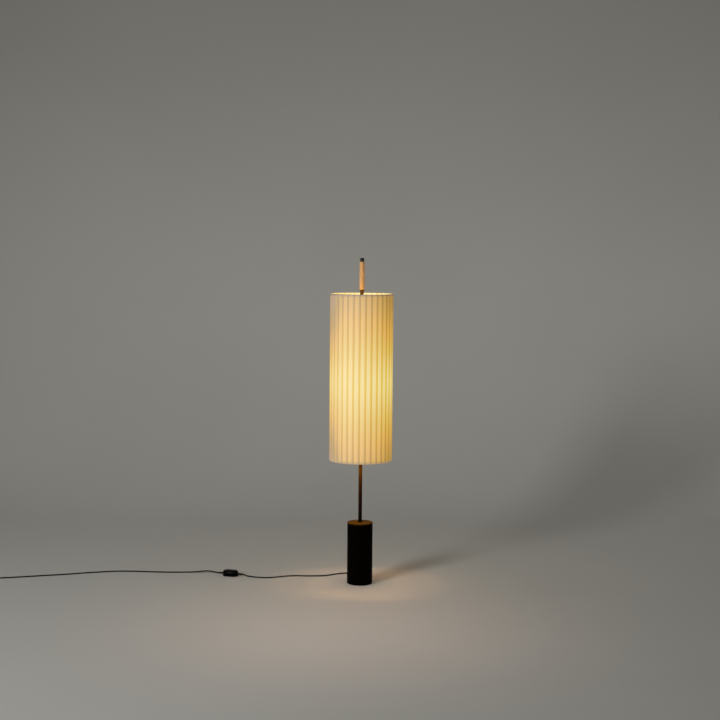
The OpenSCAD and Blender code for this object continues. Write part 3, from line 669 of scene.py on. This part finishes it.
@dataclass(frozen=True)
class StudioPaper(Finish):
    """The plain grey of the floor and the backdrop, with painted shade that darkens it a little towards
    its upper end.

    What the camera sees of it, directly or in a gloss, is lifted by a small constant level, so that
    the backdrop is pale without more light on the lamp. It is clear from its back, so that the lamp
    can be seen from behind.
    """

    colour: Colour
    lift: float = 0.048
    fade_from: float = 0.7
    fade_to: float = 3.4
    upper: float = 0.74
    cloud_scale: float = 0.9
    cloud_least: float = 0.97
    roughness: float = 0.9
    specular: float = 0.2

    def paint(self, g: Graph) -> None:
        """A matt colour with very faint clouds, painted shade towards the top, and the lift."""
        cloud = g.fade(g.noise(self.cloud_scale, 3), NOISE_LOW, NOISE_HIGH, 1.0, self.cloud_least)
        # Painted shade: the paper gets darker towards the backdrop's upper end.
        painted_shade_upwards = g.fade(g.height(), self.fade_from, self.fade_to, 1.0, self.upper)
        paper = g.scaled(self.colour, g.maths("MULTIPLY", cloud, painted_shade_upwards))
        lift = g.maths("MULTIPLY", seen_by_eye(g.tree), self.lift / max(self.colour))
        back = g.add("ShaderNodeNewGeometry").outputs["Backfacing"]
        g.set(
            Base_Color=paper,
            Roughness=self.roughness,
            Specular_IOR_Level=self.specular,
            Emission_Color=paper,
            Emission_Strength=lift,
            Alpha=g.maths("SUBTRACT", 1.0, back),
        )


# Black paint on the sides. The bronze of the top face is painted light: the shade's warm glow falling
# on it.
BASE_PAINT_AND_PAINTED_GLOW = SatinPaint(
    "base_paint_and_painted_glow",
    ((0.2688, (0.0018, 0.0010, 0.0008)), (0.2698, (0.195, 0.088, 0.002))),
    roughness=0.5,
    specular=0.015,
    tint=(1.0, 0.6, 0.35),
)
# Black paint that turns bronze towards the shade and stays bronze on the neck above it: painted light,
# the lamp's glow on the stem.
STEM_PAINT_AND_PAINTED_GLOW = SatinPaint(
    "stem_paint_and_painted_glow",
    (
        (0.30, (0.0048, 0.0012, 0.0006)),
        (0.35, (0.0154, 0.0022, 0.0006)),
        (0.40, (0.032, 0.006, 0.0006)),
        (0.45, (0.070, 0.0215, 0.0010)),
        (0.50, (0.205, 0.082, 0.0016)),
        (1.20, (0.14, 0.068, 0.004)),
    ),
    roughness=0.45,
    specular=0.08,
)
CAP_PAINT = SatinPaint(
    "cap_paint",
    ((1.39, (0.012, 0.008, 0.008)), (1.42, (0.008, 0.006, 0.007))),
    roughness=0.5,
    specular=0.3,
    tint=(1.0, 0.95, 0.9),
)
ZINC = Metal("zinc_plate", (0.62, 0.62, 0.64), roughness=0.34)
WIRE = Metal("frame_wire", (0.66, 0.65, 0.63), roughness=0.3)
SPRING_WIRE = Metal("spring_wire", (0.55, 0.55, 0.57), roughness=0.25)
BRASS = Metal("bright_brass", (0.80, 0.58, 0.27), roughness=0.26)
NICKEL = Metal("pin_nickel", (0.74, 0.72, 0.68), roughness=0.14, grain=(1.0, 0.05, 1.0))
IRON = CastIron("cast_iron")
SHEATH = Rubber("cord_sheath", (0.004, 0.0035, 0.0035), roughness=0.5)
PAD = Rubber("matt_rubber", (0.03, 0.03, 0.03), roughness=0.8, skin_depth=4e-5)
SWITCH_GLOSS = Plastic("switch_gloss", (0.0012, 0.0011, 0.0010), roughness=0.2, specular=0.06)
BUTTON_GLOSS = Plastic("button_gloss", (0.0020, 0.0018, 0.0016), roughness=0.24, specular=0.1)
HOLDER_WHITE = Plastic("holder_white", (0.74, 0.72, 0.66), roughness=0.35)
LEAD_WHITE = Plastic("lead_white", (0.70, 0.69, 0.64), roughness=0.4)
WOOD = OiledWood("oiled_wood")
THREAD = ScrewCap("bulb_thread")


def dress(nodes: dict[str, bpy.types.Object], names: Iterable[str], finish: Finish) -> None:
    """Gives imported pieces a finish.

    Args:
        nodes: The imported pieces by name.
        names: Which of them.
        finish: Their finish.
    """
    for name in names:
        piece = nodes[name]
        if not piece.material_slots:
            piece.data.materials.append(finish.material())
        for slot in piece.material_slots:
            slot.material = finish.material()
        log.info("dressed %s in %s", name, finish.name)


# ---------------------------------------------------------------------------------------------
# Camera and studio
# ---------------------------------------------------------------------------------------------


@dataclass
class StudioCamera:
    """The camera of the picture: where it stands in metres, and how it is tipped and rolled."""

    place: tuple[float, float, float] = (-0.0058, -6.2547, 1.4627)
    pitch: float = math.radians(4.449)
    roll: float = math.radians(0.468)
    focal_pixels: float = 1455.5
    picture_pixels: float = 720.0
    sensor_mm: float = 36.0
    far: float = 60.0

    def build(self) -> None:
        """Makes it the scene's camera. Its axes are right, up and backwards, turned by the roll."""
        ahead = Vector((0, math.cos(self.pitch), -math.sin(self.pitch)))
        level, upright = Vector((1, 0, 0)), Vector((0, math.sin(self.pitch), math.cos(self.pitch)))
        right = level * math.cos(self.roll) + upright * math.sin(self.roll)
        up = upright * math.cos(self.roll) - level * math.sin(self.roll)
        data = bpy.data.cameras.new("camera")
        data.sensor_width = self.sensor_mm
        data.lens = self.sensor_mm * self.focal_pixels / self.picture_pixels
        data.clip_end = self.far
        camera = bpy.data.objects.new("camera", data)
        turn = Matrix((right, up, -ahead)).transposed().to_4x4()
        camera.matrix_world = Matrix.Translation(self.place) @ turn
        bpy.context.scene.collection.objects.link(camera)
        bpy.context.scene.camera = camera
        log.info("camera at %s", self.place)


@dataclass(frozen=True)
class SoftPanel:
    """A square soft light, in metres and watts, that faces the point that it is aimed at."""

    name: str
    watts: float
    size: float
    colour: Colour
    place: tuple[float, float, float]
    aim: tuple[float, float, float]
    spread: float

    def build(self) -> None:
        """Makes the light."""
        data = bpy.data.lights.new(self.name, "AREA")
        data.energy, data.size, data.color = self.watts, self.size, self.colour
        data.spread = self.spread
        light = bpy.data.objects.new(self.name, data)
        way = Vector(self.aim) - Vector(self.place)
        turn = way.to_track_quat("-Z", "Y").to_matrix().to_4x4()
        light.matrix_world = Matrix.Translation(self.place) @ turn
        bpy.context.scene.collection.objects.link(light)


KEY = SoftPanel(
    "key",
    watts=55.0,
    size=1.8,
    colour=(0.97, 1.0, 1.0),
    place=(-3.8, -5.2, 2.6),
    aim=(0.9, 1.6, 1.0),
    spread=math.radians(95),
)
FLOOR_FILL = SoftPanel(
    "floor_fill",
    watts=0.70,
    size=1.0,
    colour=(1.0, 0.68, 0.52),
    place=(-0.1, -0.8, 2.4),
    aim=(-0.1, -0.8, 0.0),
    spread=math.radians(40),
)


@dataclass
class Studio:
    """A pale floor that curves up into a backdrop, with a dim world. The key stands at the front left
    and fills the backdrop behind the lamp. A weak warm fill lights the floor before the lamp.
    """

    wall_y: float = 3.8
    bend: float = 2.4
    half_width: float = 9.0
    front_y: float = -9.0
    wall_top: float = 7.0
    grey: Colour = (0.80, 0.775, 0.72)
    bend_rows: int = 25
    sky: Colour = (1.0, 0.96, 0.90)
    world_level: float = 0.045
    world_seen: float = 0.22

    def sweep(self) -> bpy.types.Object:
        """The floor, a quarter circle, and the wall: one profile carried along X."""
        turn = np.linspace(0, math.pi / 2, self.bend_rows)
        y = np.concatenate(
            [[self.front_y], self.wall_y - self.bend + self.bend * np.sin(turn), [self.wall_y]]
        )
        z = np.concatenate([[0.0], self.bend * (1 - np.cos(turn)), [self.wall_top]])
        x = np.array([-self.half_width, self.half_width])
        points = np.stack(np.broadcast_arrays(x, y[:, None], z[:, None]), axis=2)
        return mesh_object("backdrop", points, grid_faces(len(y), 2))

    def light_world(self) -> None:
        """Makes the world: a dim level for the light, and a brighter one for the eye."""
        world = bpy.data.worlds.new("studio")
        world.use_nodes = True
        tree = world.node_tree
        sky = tree.nodes["Background"]
        sky.inputs["Color"].default_value = (*self.sky, 1.0)
        level = tree.nodes.new("ShaderNodeMapRange")
        level.inputs["To Min"].default_value = self.world_level
        level.inputs["To Max"].default_value = self.world_seen
        tree.links.new(seen_by_eye(tree), level.inputs["Value"])
        tree.links.new(level.outputs["Result"], sky.inputs["Strength"])
        bpy.context.scene.world = world

    def build(self) -> None:
        """Makes the studio."""
        floor = self.sweep()
        floor.data.materials.append(StudioPaper("studio_paper", self.grey).material())
        KEY.build()
        FLOOR_FILL.build()
        self.light_world()
        bpy.context.scene.view_settings.view_transform = "Standard"
        log.info("studio built")


# ---------------------------------------------------------------------------------------------
# Cord
# ---------------------------------------------------------------------------------------------


@dataclass
class CordCoil:
    """The put-away length: a spiral in and out again on two layers. Millimetres, with the first and
    the last turn counted from the reversal, the start in degrees and the leads in diameters.
    """

    middle: tuple[float, float] = (-1640.0, -20.0)
    inner: float = 24.0
    step: float = 6.7
    first: float = -2.5
    last: float = 2.75
    start: float = 90.0
    climb: float = 0.25
    rings: int = 24
    nearby: float = 0.01
    lead_in: tuple[float, float] = (2.3, 1.0)
    lead_out: tuple[float, float] = (1.0, 1.8)

    def points(self, turns: Array, radius: float) -> Array:
        """Points of the coil: the distance from its middle grows by a step for each turn away from
        the reversal, and the height goes up one step around it along half a sine.

        Args:
            turns: Turns counted from the reversal.
            radius: Radius of the cord.

        Returns:
            An array of points.
        """
        r = self.inner + self.step * np.abs(turns)
        a = np.radians(self.start + 360 * (turns - self.first))
        level = (1 + np.sin(np.radians(90 * np.clip(turns / self.climb, -1, 1)))) / 2
        x, y = self.middle
        return np.stack([x + r * np.cos(a), y + r * np.sin(a), radius + self.step * level], axis=1)

    def heading(self, turn: float, radius: float) -> Array:
        """The unit direction of the coil at a turn."""
        a, b = self.points(np.array([turn - self.nearby, turn + self.nearby]), radius)
        return (b - a) / np.linalg.norm(b - a)

    def route(self, radius: float) -> tuple[list[Array], Array, list[Array]]:
        """The points that lead straight in, those of the turns, and those that lead straight out."""
        turns = self.first + np.arange(round(self.rings * (self.last - self.first)) + 1) / self.rings
        body = self.points(turns, radius)
        into = 2 * radius * self.heading(self.first, radius)
        out = 2 * radius * self.heading(self.last, radius)
        return (
            [body[0] - share * into for share in self.lead_in],
            body,
            [body[-1] + share * out for share in self.lead_out],
        )


@dataclass
class MainsCord:
    """The free cord: from the gland in the base to the foot switch, and on to the coil and the plug.
    Millimetres. It runs straight for a bit at each fitting, and comes down to the floor on a slope.
    """

    diameter: float = 6.0
    gland_end: tuple[float, float, float] = (0.0, 84.0, 16.0)
    switch_at: tuple[float, float] = SWITCH_AT
    switch_turn: float = SWITCH_TURN
    switch_reach: float = 53.5
    switch_axis: float = 11.0
    plug_at: tuple[float, float] = (-1683.0, -64.0)
    plug_axis: float = 7.0
    straight: float = 8.0
    slope: tuple[float, float] = (22.0, 4.5)
    round_steps: int = 3
    curve_steps: int = 6
    measure_steps: int = 8
    coil: CordCoil = field(default_factory=CordCoil)
    switch_nodes: tuple[str, ...] = (
        "switch_base",
        "switch_button",
        "switch_relief_left",
        "switch_relief_right",
    )
    plug_nodes: tuple[str, ...] = ("plug_relief", "plug_body", "plug_pins")

    def port(self, end: int, reach: float = 0.0, drop: float = 0.0) -> Array:
        """The cord's middle where it meets the switch, or a little outside it.

        Args:
            end: -1 for the left end of the switch and 1 for the right.
            reach: Distance outwards from the switch.
            drop: How much lower than the switch's own hole.

        Returns:
            The point.
        """
        out = end * (self.switch_reach + reach)
        return np.array(
            [
                self.switch_at[0] + out * math.cos(self.switch_turn),
                self.switch_at[1] + out * math.sin(self.switch_turn),
                self.switch_axis - drop,
            ]
        )

    def to_switch(self) -> Array:
        """The route from the base to the switch, in millimetres."""
        x, y, z = self.gland_end
        floor = [
            (-1, 116, 9), (-8, 142, 3), (-26, 167, 3), (-54, 180, 3), (-86, 171, 3), (-120, 149, 3),
            (-157, 127, 3), (-200, 120, 3), (-245, 119, 3), (-285, 121, 3), (-322, 112, 3),
            (-358, 95, 3), (-396, 81, 3), (-436, 80, 3), (-472, 88, 4),
        ]
        start = [(x, y, z), (x, y + self.straight, z)]
        end = [self.port(1, *self.slope), self.port(1, self.straight), self.port(1)]
        return np.array([*start, *floor, *end], float)

    def to_plug(self) -> Array:
        """The route from the switch along the floor, through the coil and into the plug."""
        floor = [
            (-656, 146, 13), (-684, 157, 13), (-714, 167, 8), (-748, 173, 4), (-790, 172, 3),
            (-838, 170, 3), (-886, 171, 3), (-934, 175, 3), (-982, 180, 3), (-1030, 182, 3),
            (-1078, 181, 3), (-1126, 173, 3), (-1178, 157, 3), (-1232, 139, 3), (-1286, 117, 3),
            (-1340, 99, 3), (-1396, 83, 3), (-1452, 65, 3), (-1508, 47, 3), (-1562, 33, 3),
            (-1602, 25, 3),
        ]
        start = [self.port(-1), self.port(-1, self.straight)]
        into, body, out = self.coil.route(self.diameter / 2)
        (x, y), z = self.plug_at, self.plug_axis
        end = [(-1684, -44, 8), (x, y + self.straight, z), (x, y, z)]
        return np.array([*start, *floor, *into, *body, *out, *end], float)

    def curve(self, name: str, route: Array) -> bpy.types.Object:
        """A round cord on one smooth spline through the route.

        Args:
            name: Name of the piece.
            route: Points in millimetres.

        Returns:
            The curve's object.
        """
        data = bpy.data.curves.new(name, "CURVE")
        data.dimensions = "3D"
        data.bevel_depth = self.diameter / 2 * MM
        data.bevel_resolution = self.round_steps
        data.resolution_u = data.render_resolution_u = self.curve_steps
        data.use_fill_caps = True
        spline = data.splines.new("BEZIER")
        spline.bezier_points.add(len(route) - 1)
        for point, place in zip(spline.bezier_points, route * MM):
            point.co = place
            point.handle_left_type = point.handle_right_type = "AUTO"
        data.materials.append(SHEATH.material())
        cord = bpy.data.objects.new(name, data)
        bpy.context.scene.collection.objects.link(cord)
        return cord

    def build(self, nodes: dict[str, bpy.types.Object], hood: bpy.types.Object) -> None:
        """Args:
            nodes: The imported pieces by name.
            hood: The upper shell of the switch.
        """
        on_switch = [hood, *(nodes[n] for n in self.switch_nodes)]
        on_end = [nodes[n] for n in self.plug_nodes]
        rest = ("cord_run", "cord_coil", "cord_tail")
        for name, route, replaced, far, pieces in (
            ("cord_base_to_switch", self.to_switch(), ("cord_to_switch",), "fitting", on_switch),
            ("cord_switch_to_plug", self.to_plug(), rest, "plug", on_end),
        ):
            cord = self.curve(name, route)
            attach(cord, "lamp")
            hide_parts(*replaced)


# ---------------------------------------------------------------------------------------------
# Shade
# ---------------------------------------------------------------------------------------------


@dataclass
class RibbonShade:
    """The ribbons of the shade. Each runs from hem to hem round both rim rings, and its far edge lies
    over the next ribbon. Metres, with the lap in steps from one ribbon to the next, the phase in
    degrees and the jitter in radians. The bulbs' part is explained at bulb_light.
    """

    radius: float = 0.1355
    bottom: float = 0.541
    height: float = 0.721
    count: int = 33
    lap: float = 0.33
    thickness: float = 0.5 * MM
    cloth_share: float = 0.8
    lift: float = 0.8 * MM
    phase: float = -0.8
    jitter: float = 0.001
    seed: int = 7
    wrap: float = 2.632 * MM
    hem: float = 14 * MM
    bulb_x: float = BULB_X
    bulb_z: float = 0.880
    bulb_share: dict[int, float] = field(default_factory=lambda: {-1: 0.6, 1: 1.4})
    hidden_from: float = 0.5
    hidden_at: float = 0.9
    grazing: float = 0.02
    plain_light: float = 89.4
    light_span: float = 3.12
    strengths: tuple[float, float] = (-0.5, 1.2)
    wall_least: float = 0.08
    columns: int = 13
    wall_rows: int = 72
    wrap_rows: int = 9
    hem_rows: int = 4
    hem_light: float = 0.75
    fold_lit: tuple[float, float] = (0.45, 0.65)

    @property
    def ring_radius(self) -> float:
        """Radius of the rim rings' middle line."""
        return self.radius - self.thickness - self.wrap

    @property
    def ring_inset(self) -> float:
        """Distance of a ring's middle from the shade's end."""
        return self.wrap + self.thickness

    def profile(self, offset: Array) -> tuple[Array, Array]:
        """The ribbon's path in the upright plane: up the inner hem of the lower ring, round that
        ring, up the wall, round the upper ring and down its hem. All of it keeps the same distance
        from the rings' middle lines: the wrap's radius plus the offset.

        Args:
            offset: Offset of each column, from the wrap's mean radius.

        Returns:
            Radii and heights, a row for each point of the path and a column for each offset.
        """
        low, high = self.bottom + self.ring_inset, self.bottom + self.height - self.ring_inset
        turn = np.linspace(math.pi, 2 * math.pi, self.wrap_rows)
        hem_z = np.linspace(self.hem, 0, self.hem_rows + 1)[:-1]
        wall_z = np.linspace(low, high, self.wall_rows)[1:-1]
        hem, wall, fold = np.ones(len(hem_z)), np.ones(len(wall_z)), np.ones(len(turn))
        side = np.concatenate([-hem, np.cos(turn), wall, -np.cos(turn), -hem])
        centre = np.concatenate([low + hem_z, low * fold, wall_z, high * fold, high - hem_z[::-1]])
        lean = np.concatenate([0 * hem, np.sin(turn), 0 * wall, -np.sin(turn), 0 * hem])
        reach = self.wrap + self.thickness / 2 + offset
        return self.ring_radius + side[:, None] * reach, centre[:, None] + lean[:, None] * reach

    def bulb_light(self, points: Array) -> Array:
        """How strong the bulbs' light is at points of the wall, on the scale of the cloth's ramp.

        The light of a bulb falls with the square of the distance and with the cosine at the wall. The
        far bulb is hidden behind the near one from the sides. The eye's answer is the logarithm: the
        plain light is a strength of 1, and the ramp reaches from the least strength to the most.

        Args:
            points: Points on the shade.

        Returns:
            A number from 0 to 1 for each point.
        """
        outward = points * np.array([1, 1, 0])
        outward /= np.linalg.norm(outward, axis=-1, keepdims=True)
        reach = self.hidden_at - self.hidden_from
        sideways = np.clip((np.abs(outward[..., 0]) - self.hidden_from) / reach, 0, 1)
        hidden = sideways**2 * (3 - 2 * sideways)
        total = np.zeros(points.shape[:-1])
        for sign, share in self.bulb_share.items():
            way = points - np.array([sign * self.bulb_x, 0, self.bulb_z])
            distance = np.linalg.norm(way, axis=-1)
            cosine = np.clip((way * outward).sum(-1) / distance, self.grazing, 1)
            seen = np.where(np.sign(outward[..., 0]) == -sign, 1 - hidden, 1)
            total += share * seen * cosine / distance**2
        strength = 1 + np.log(total / self.plain_light) / self.light_span
        least, most = self.strengths
        return np.clip((strength - least) / (most - least), self.wall_least, 1)

    def light(self, points: Array) -> Array:
        """The light of every point: that of the wall, least where a ring lies behind the cloth, full on
        the inner side of the upper ring, and strong on the hems, which face the bulbs.

        Args:
            points: Points of all ribbons: ribbon, row, column.

        Returns:
            A number from 0 to 1 for each point.
        """
        light = self.bulb_light(points)
        hem, folded = self.hem_rows, self.hem_rows + self.wrap_rows
        light[:, hem:folded] = self.wall_least
        over = np.interp(np.linspace(0, 1, self.wrap_rows), self.fold_lit, (0, 1))
        light[:, -folded:-hem] = over[:, None]
        light[:, :hem] = light[:, -hem:] = self.hem_light
        return light

    def build(self) -> None:
        """Makes all ribbons as one piece: a grid for each, across by along, turned round the axis. Each
        ribbon's turn is a little off, by a normal draw.
        """
        step = 2 * math.pi / self.count
        across = np.linspace(0, 1, self.columns)
        in_steps = (across - 0.5) * (1 + self.lap)
        r, z = self.profile(self.lift * in_steps)
        jitter = np.random.default_rng(self.seed).normal(0, self.jitter, self.count)
        middle = math.radians(self.phase) + step * np.arange(self.count) + jitter
        angle = middle[:, None, None] + step * in_steps[None, None, :]
        points = np.stack(np.broadcast_arrays(r * np.cos(angle), r * np.sin(angle), z), axis=3)
        rows, cols = z.shape
        faces = grid_faces(rows, cols)
        faces = (faces[None] + rows * cols * np.arange(self.count)[:, None, None]).reshape(-1, 4)
        along = np.linspace(0, 1, rows)
        uv = np.stack(np.meshgrid(along, across, indexing="ij")[::-1], axis=2)
        uv = np.broadcast_to(uv, (self.count, rows, cols, 2))
        shade = mesh_object("shade_cloth", points, faces[:, ::-1], uv)
        light = shade.data.attributes.new("bulb_light", "FLOAT", "POINT")
        light.data.foreach_set("value", self.light(points).ravel())
        solid = shade.modifiers.new("cloth", "SOLIDIFY")
        solid.thickness = self.thickness * self.cloth_share
        solid.offset = 0
        weave = RibbonCloth("ribbon_weave", lap=self.lap / (1 + self.lap))
        shade.data.materials.append(weave.material())
        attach(shade, "lamp")
        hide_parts("shade_ribbons")


# ---------------------------------------------------------------------------------------------
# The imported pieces
# ---------------------------------------------------------------------------------------------


@dataclass
class LampBase:
    """The heavy base: shell, ballast, bottom plate, pad and gland."""

    def dress(self, nodes: dict[str, bpy.types.Object]) -> None:
        """Gives each piece of the base its finish."""
        dress(nodes, ["base_shell"], BASE_PAINT_AND_PAINTED_GLOW)
        dress(nodes, ["ballast"], IRON)
        dress(nodes, ["bottom_plate", "plate_screws", "stem_washer", "stem_nut", "gland_nut"], ZINC)
        dress(nodes, ["foot_pad"], PAD)
        dress(nodes, ["cord_gland", "gland_relief", "inner_cord"], SHEATH)


@dataclass
class StemAndGrip:
    """The stem with its wooden grip, collar and cap."""

    def dress(self, nodes: dict[str, bpy.types.Object]) -> None:
        """Gives each piece of the stem its finish."""
        dress(nodes, ["stem_tube", "grip_collar"], STEM_PAINT_AND_PAINTED_GLOW)
        dress(nodes, ["top_cap"], CAP_PAINT)
        dress(nodes, ["wood_grip"], WOOD)
        dress(nodes, ["upper_shade_frame", "lower_shade_frame", "grub_screws"], WIRE)


@dataclass
class Lampholders:
    """The bracket with both lampholders and their lit bulbs."""

    bulb_x: float = BULB_X
    ball_z: float = 0.894
    ball_r: float = 0.028
    watts: float = 4.6
    colour: Colour = (1.0, 0.56, 0.26)

    def lit(self, side: Side) -> None:
        """The light of one bulb: a point with the size of its ball."""
        data = bpy.data.lights.new(f"bulb_light_{side.value}", "POINT")
        data.energy, data.shadow_soft_size, data.color = self.watts, self.ball_r, self.colour
        light = bpy.data.objects.new(data.name, data)
        light.location = (side.sign * self.bulb_x, 0, self.ball_z)
        bpy.context.scene.collection.objects.link(light)

    def dress(self, nodes: dict[str, bpy.types.Object]) -> None:
        """Gives the bracket, the holders and the bulbs their finishes, and lights the bulbs."""
        dress(nodes, ["lamp_bracket", "bracket_nipples", "nipple_nuts"], ZINC)
        opal = OpalGlass("lit_opal", self.ball_z)
        for side in Side:
            tail = side.value
            dress(nodes, [f"holder_cap_{tail}", f"holder_shell_{tail}"], HOLDER_WHITE)
            dress(nodes, [f"holder_insert_{tail}"], BRASS)
            dress(nodes, [f"bulb_base_{tail}"], THREAD)
            dress(nodes, [f"bulb_glass_{tail}"], opal)
            dress(nodes, [f"lead_{tail}"], LEAD_WHITE)
            nodes[f"bulb_glass_{tail}"].visible_shadow = False
            self.lit(side)


@dataclass
class FootSwitch:
    """The foot switch on the cord. Millimetres, in its own frame: x along the housing and z up."""

    at: tuple[float, float] = SWITCH_AT
    turn: float = SWITCH_TURN
    straight: float = 25.0
    radius: float = 23.0
    joint: float = 11.0
    top: float = 27.3
    fullness: float = 3.6
    wall: float = 2.0
    hole_r: float = 13.3
    edge_share: float = 0.62
    edge_rings: int = 14
    top_rings: int = 8
    spokes: int = 96
    travel: float = 2.5
    wire_r: float = 0.45
    spring_turns: int = 4
    spring_rings: int = 24
    wire_sides: int = 8

    def crown(self, x: Array, y: Array, inset: float) -> Array:
        """Height of the upper shell over a point: a full curve from the joint to the top.

        Args:
            x: Place along the housing.
            y: Place across it.
            inset: Distance under the outer surface.

        Returns:
            The height.
        """
        away = np.hypot(np.maximum(np.abs(x) - self.straight / 2, 0), y) / (self.radius - inset)
        rise = (1 - np.clip(away, 0, 1) ** self.fullness) ** (1 / self.fullness)
        return self.joint + (self.top - self.joint - inset) * rise

    def skin(self, inset: float) -> Array:
        """Rings of points from the joint to the button's hole: ovals, which stop at a share of the way
        to the top, then a blend to a circle.
        """
        spoke = np.linspace(0, 2 * math.pi, self.spokes, endpoint=False)
        ends = np.sign(np.cos(spoke)) * self.straight / 2
        reach = self.radius - inset
        fall = np.linspace(0, math.pi / 2, self.edge_rings) * self.edge_share
        radii = reach * np.cos(fall) ** (2 / self.fullness)
        rings = [(ends + r * np.cos(spoke), r * np.sin(spoke)) for r in radii]
        last_x, last_y = rings[-1]
        hole_x, hole_y = self.hole_r * np.cos(spoke), self.hole_r * np.sin(spoke)
        for share in np.linspace(0, 1, self.top_rings)[1:]:
            rings.append((last_x + (hole_x - last_x) * share, last_y + (hole_y - last_y) * share))
        return np.array([np.stack([x, y, self.crown(x, y, inset)], axis=1) for x, y in rings])

    def hood(self) -> bpy.types.Object:
        """The upper shell: an outer and an inner skin that meet at the joint and in the hole.

        Returns:
            The piece.
        """
        shell = np.concatenate([self.skin(0), self.skin(self.wall)[::-1]])
        c, s = math.cos(self.turn), math.sin(self.turn)
        x, y = shell[..., 0].copy(), shell[..., 1].copy()
        shell[..., 0], shell[..., 1] = self.at[0] + c * x - s * y, self.at[1] + s * x + c * y
        faces = grid_faces(len(shell), self.spokes, round_rows=True, round_cols=True)
        piece = mesh_object("switch_hood", shell * MM, faces)
        piece.data.materials.append(SWITCH_GLOSS.material())
        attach(piece, "lamp")
        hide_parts("switch_cover")
        return piece

    def spring(self) -> None:
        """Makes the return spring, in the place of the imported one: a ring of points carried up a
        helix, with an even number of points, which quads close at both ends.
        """
        low, high = (np.array(corner, float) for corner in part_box("switch_spring"))
        wire, middle = self.wire_r * MM, (low + high) / 2
        coil = (high[0] - low[0]) / 2 - wire
        steps = self.spring_turns * self.spring_rings
        turn = np.linspace(0, 2 * math.pi * self.spring_turns, steps + 1)[:, None]
        rise = np.linspace(low[2] + wire, high[2] - wire, steps + 1)[:, None]
        side = np.linspace(0, 2 * math.pi, self.wire_sides, endpoint=False)
        reach = coil + wire * np.cos(side)
        points = np.stack(
            [
                middle[0] + reach * np.cos(turn),
                middle[1] + reach * np.sin(turn),
                rise + wire * np.sin(side),
            ],
            axis=2,
        )
        k = np.arange(self.wire_sides // 2 - 1)
        cap = np.stack([-k % self.wire_sides, k + 1, k + 2, -(k + 1) % self.wire_sides], axis=1)
        last = steps * self.wire_sides
        tube = grid_faces(steps + 1, self.wire_sides, round_cols=True)
        piece = mesh_object("return_spring", points, np.concatenate([tube, cap, cap[:, ::-1] + last]))
        piece.data.materials.append(SPRING_WIRE.material())
        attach(piece, "lamp")
        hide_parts("switch_spring")
        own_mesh(piece)

    def dress(self, nodes: dict[str, bpy.types.Object]) -> None:
        """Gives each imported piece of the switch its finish."""
        dress(nodes, ["switch_base"], SWITCH_GLOSS)
        dress(nodes, ["switch_button"], BUTTON_GLOSS)
        dress(nodes, ["switch_block"], HOLDER_WHITE)
        dress(nodes, ["switch_screws"], ZINC)
        dress(nodes, ["switch_feet"], PAD)
        dress(nodes, ["switch_relief_left", "switch_relief_right"], SHEATH)


@dataclass
class Plug:
    """The two-pin plug at the cord's end."""

    def dress(self, nodes: dict[str, bpy.types.Object]) -> None:
        """Gives each piece of the plug its finish."""
        dress(nodes, ["plug_body"], BUTTON_GLOSS)
        dress(nodes, ["plug_relief"], SHEATH)
        dress(nodes, ["plug_pins"], NICKEL)


def main() -> None:
    """Builds the scene in order: camera and cord first, then the shade and the finishes."""
    logging.basicConfig(level=logging.INFO, format="%(message)s")
    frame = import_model()
    nodes = frame["nodes"]
    StudioCamera().build()
    switch = FootSwitch()
    MainsCord().build(nodes, switch.hood())
    switch.spring()
    RibbonShade().build()
    for assembly in (LampBase(), StemAndGrip(), Lampholders(), switch, Plug()):
        assembly.dress(nodes)
    Studio().build()


if __name__ == "__main__":
    main()
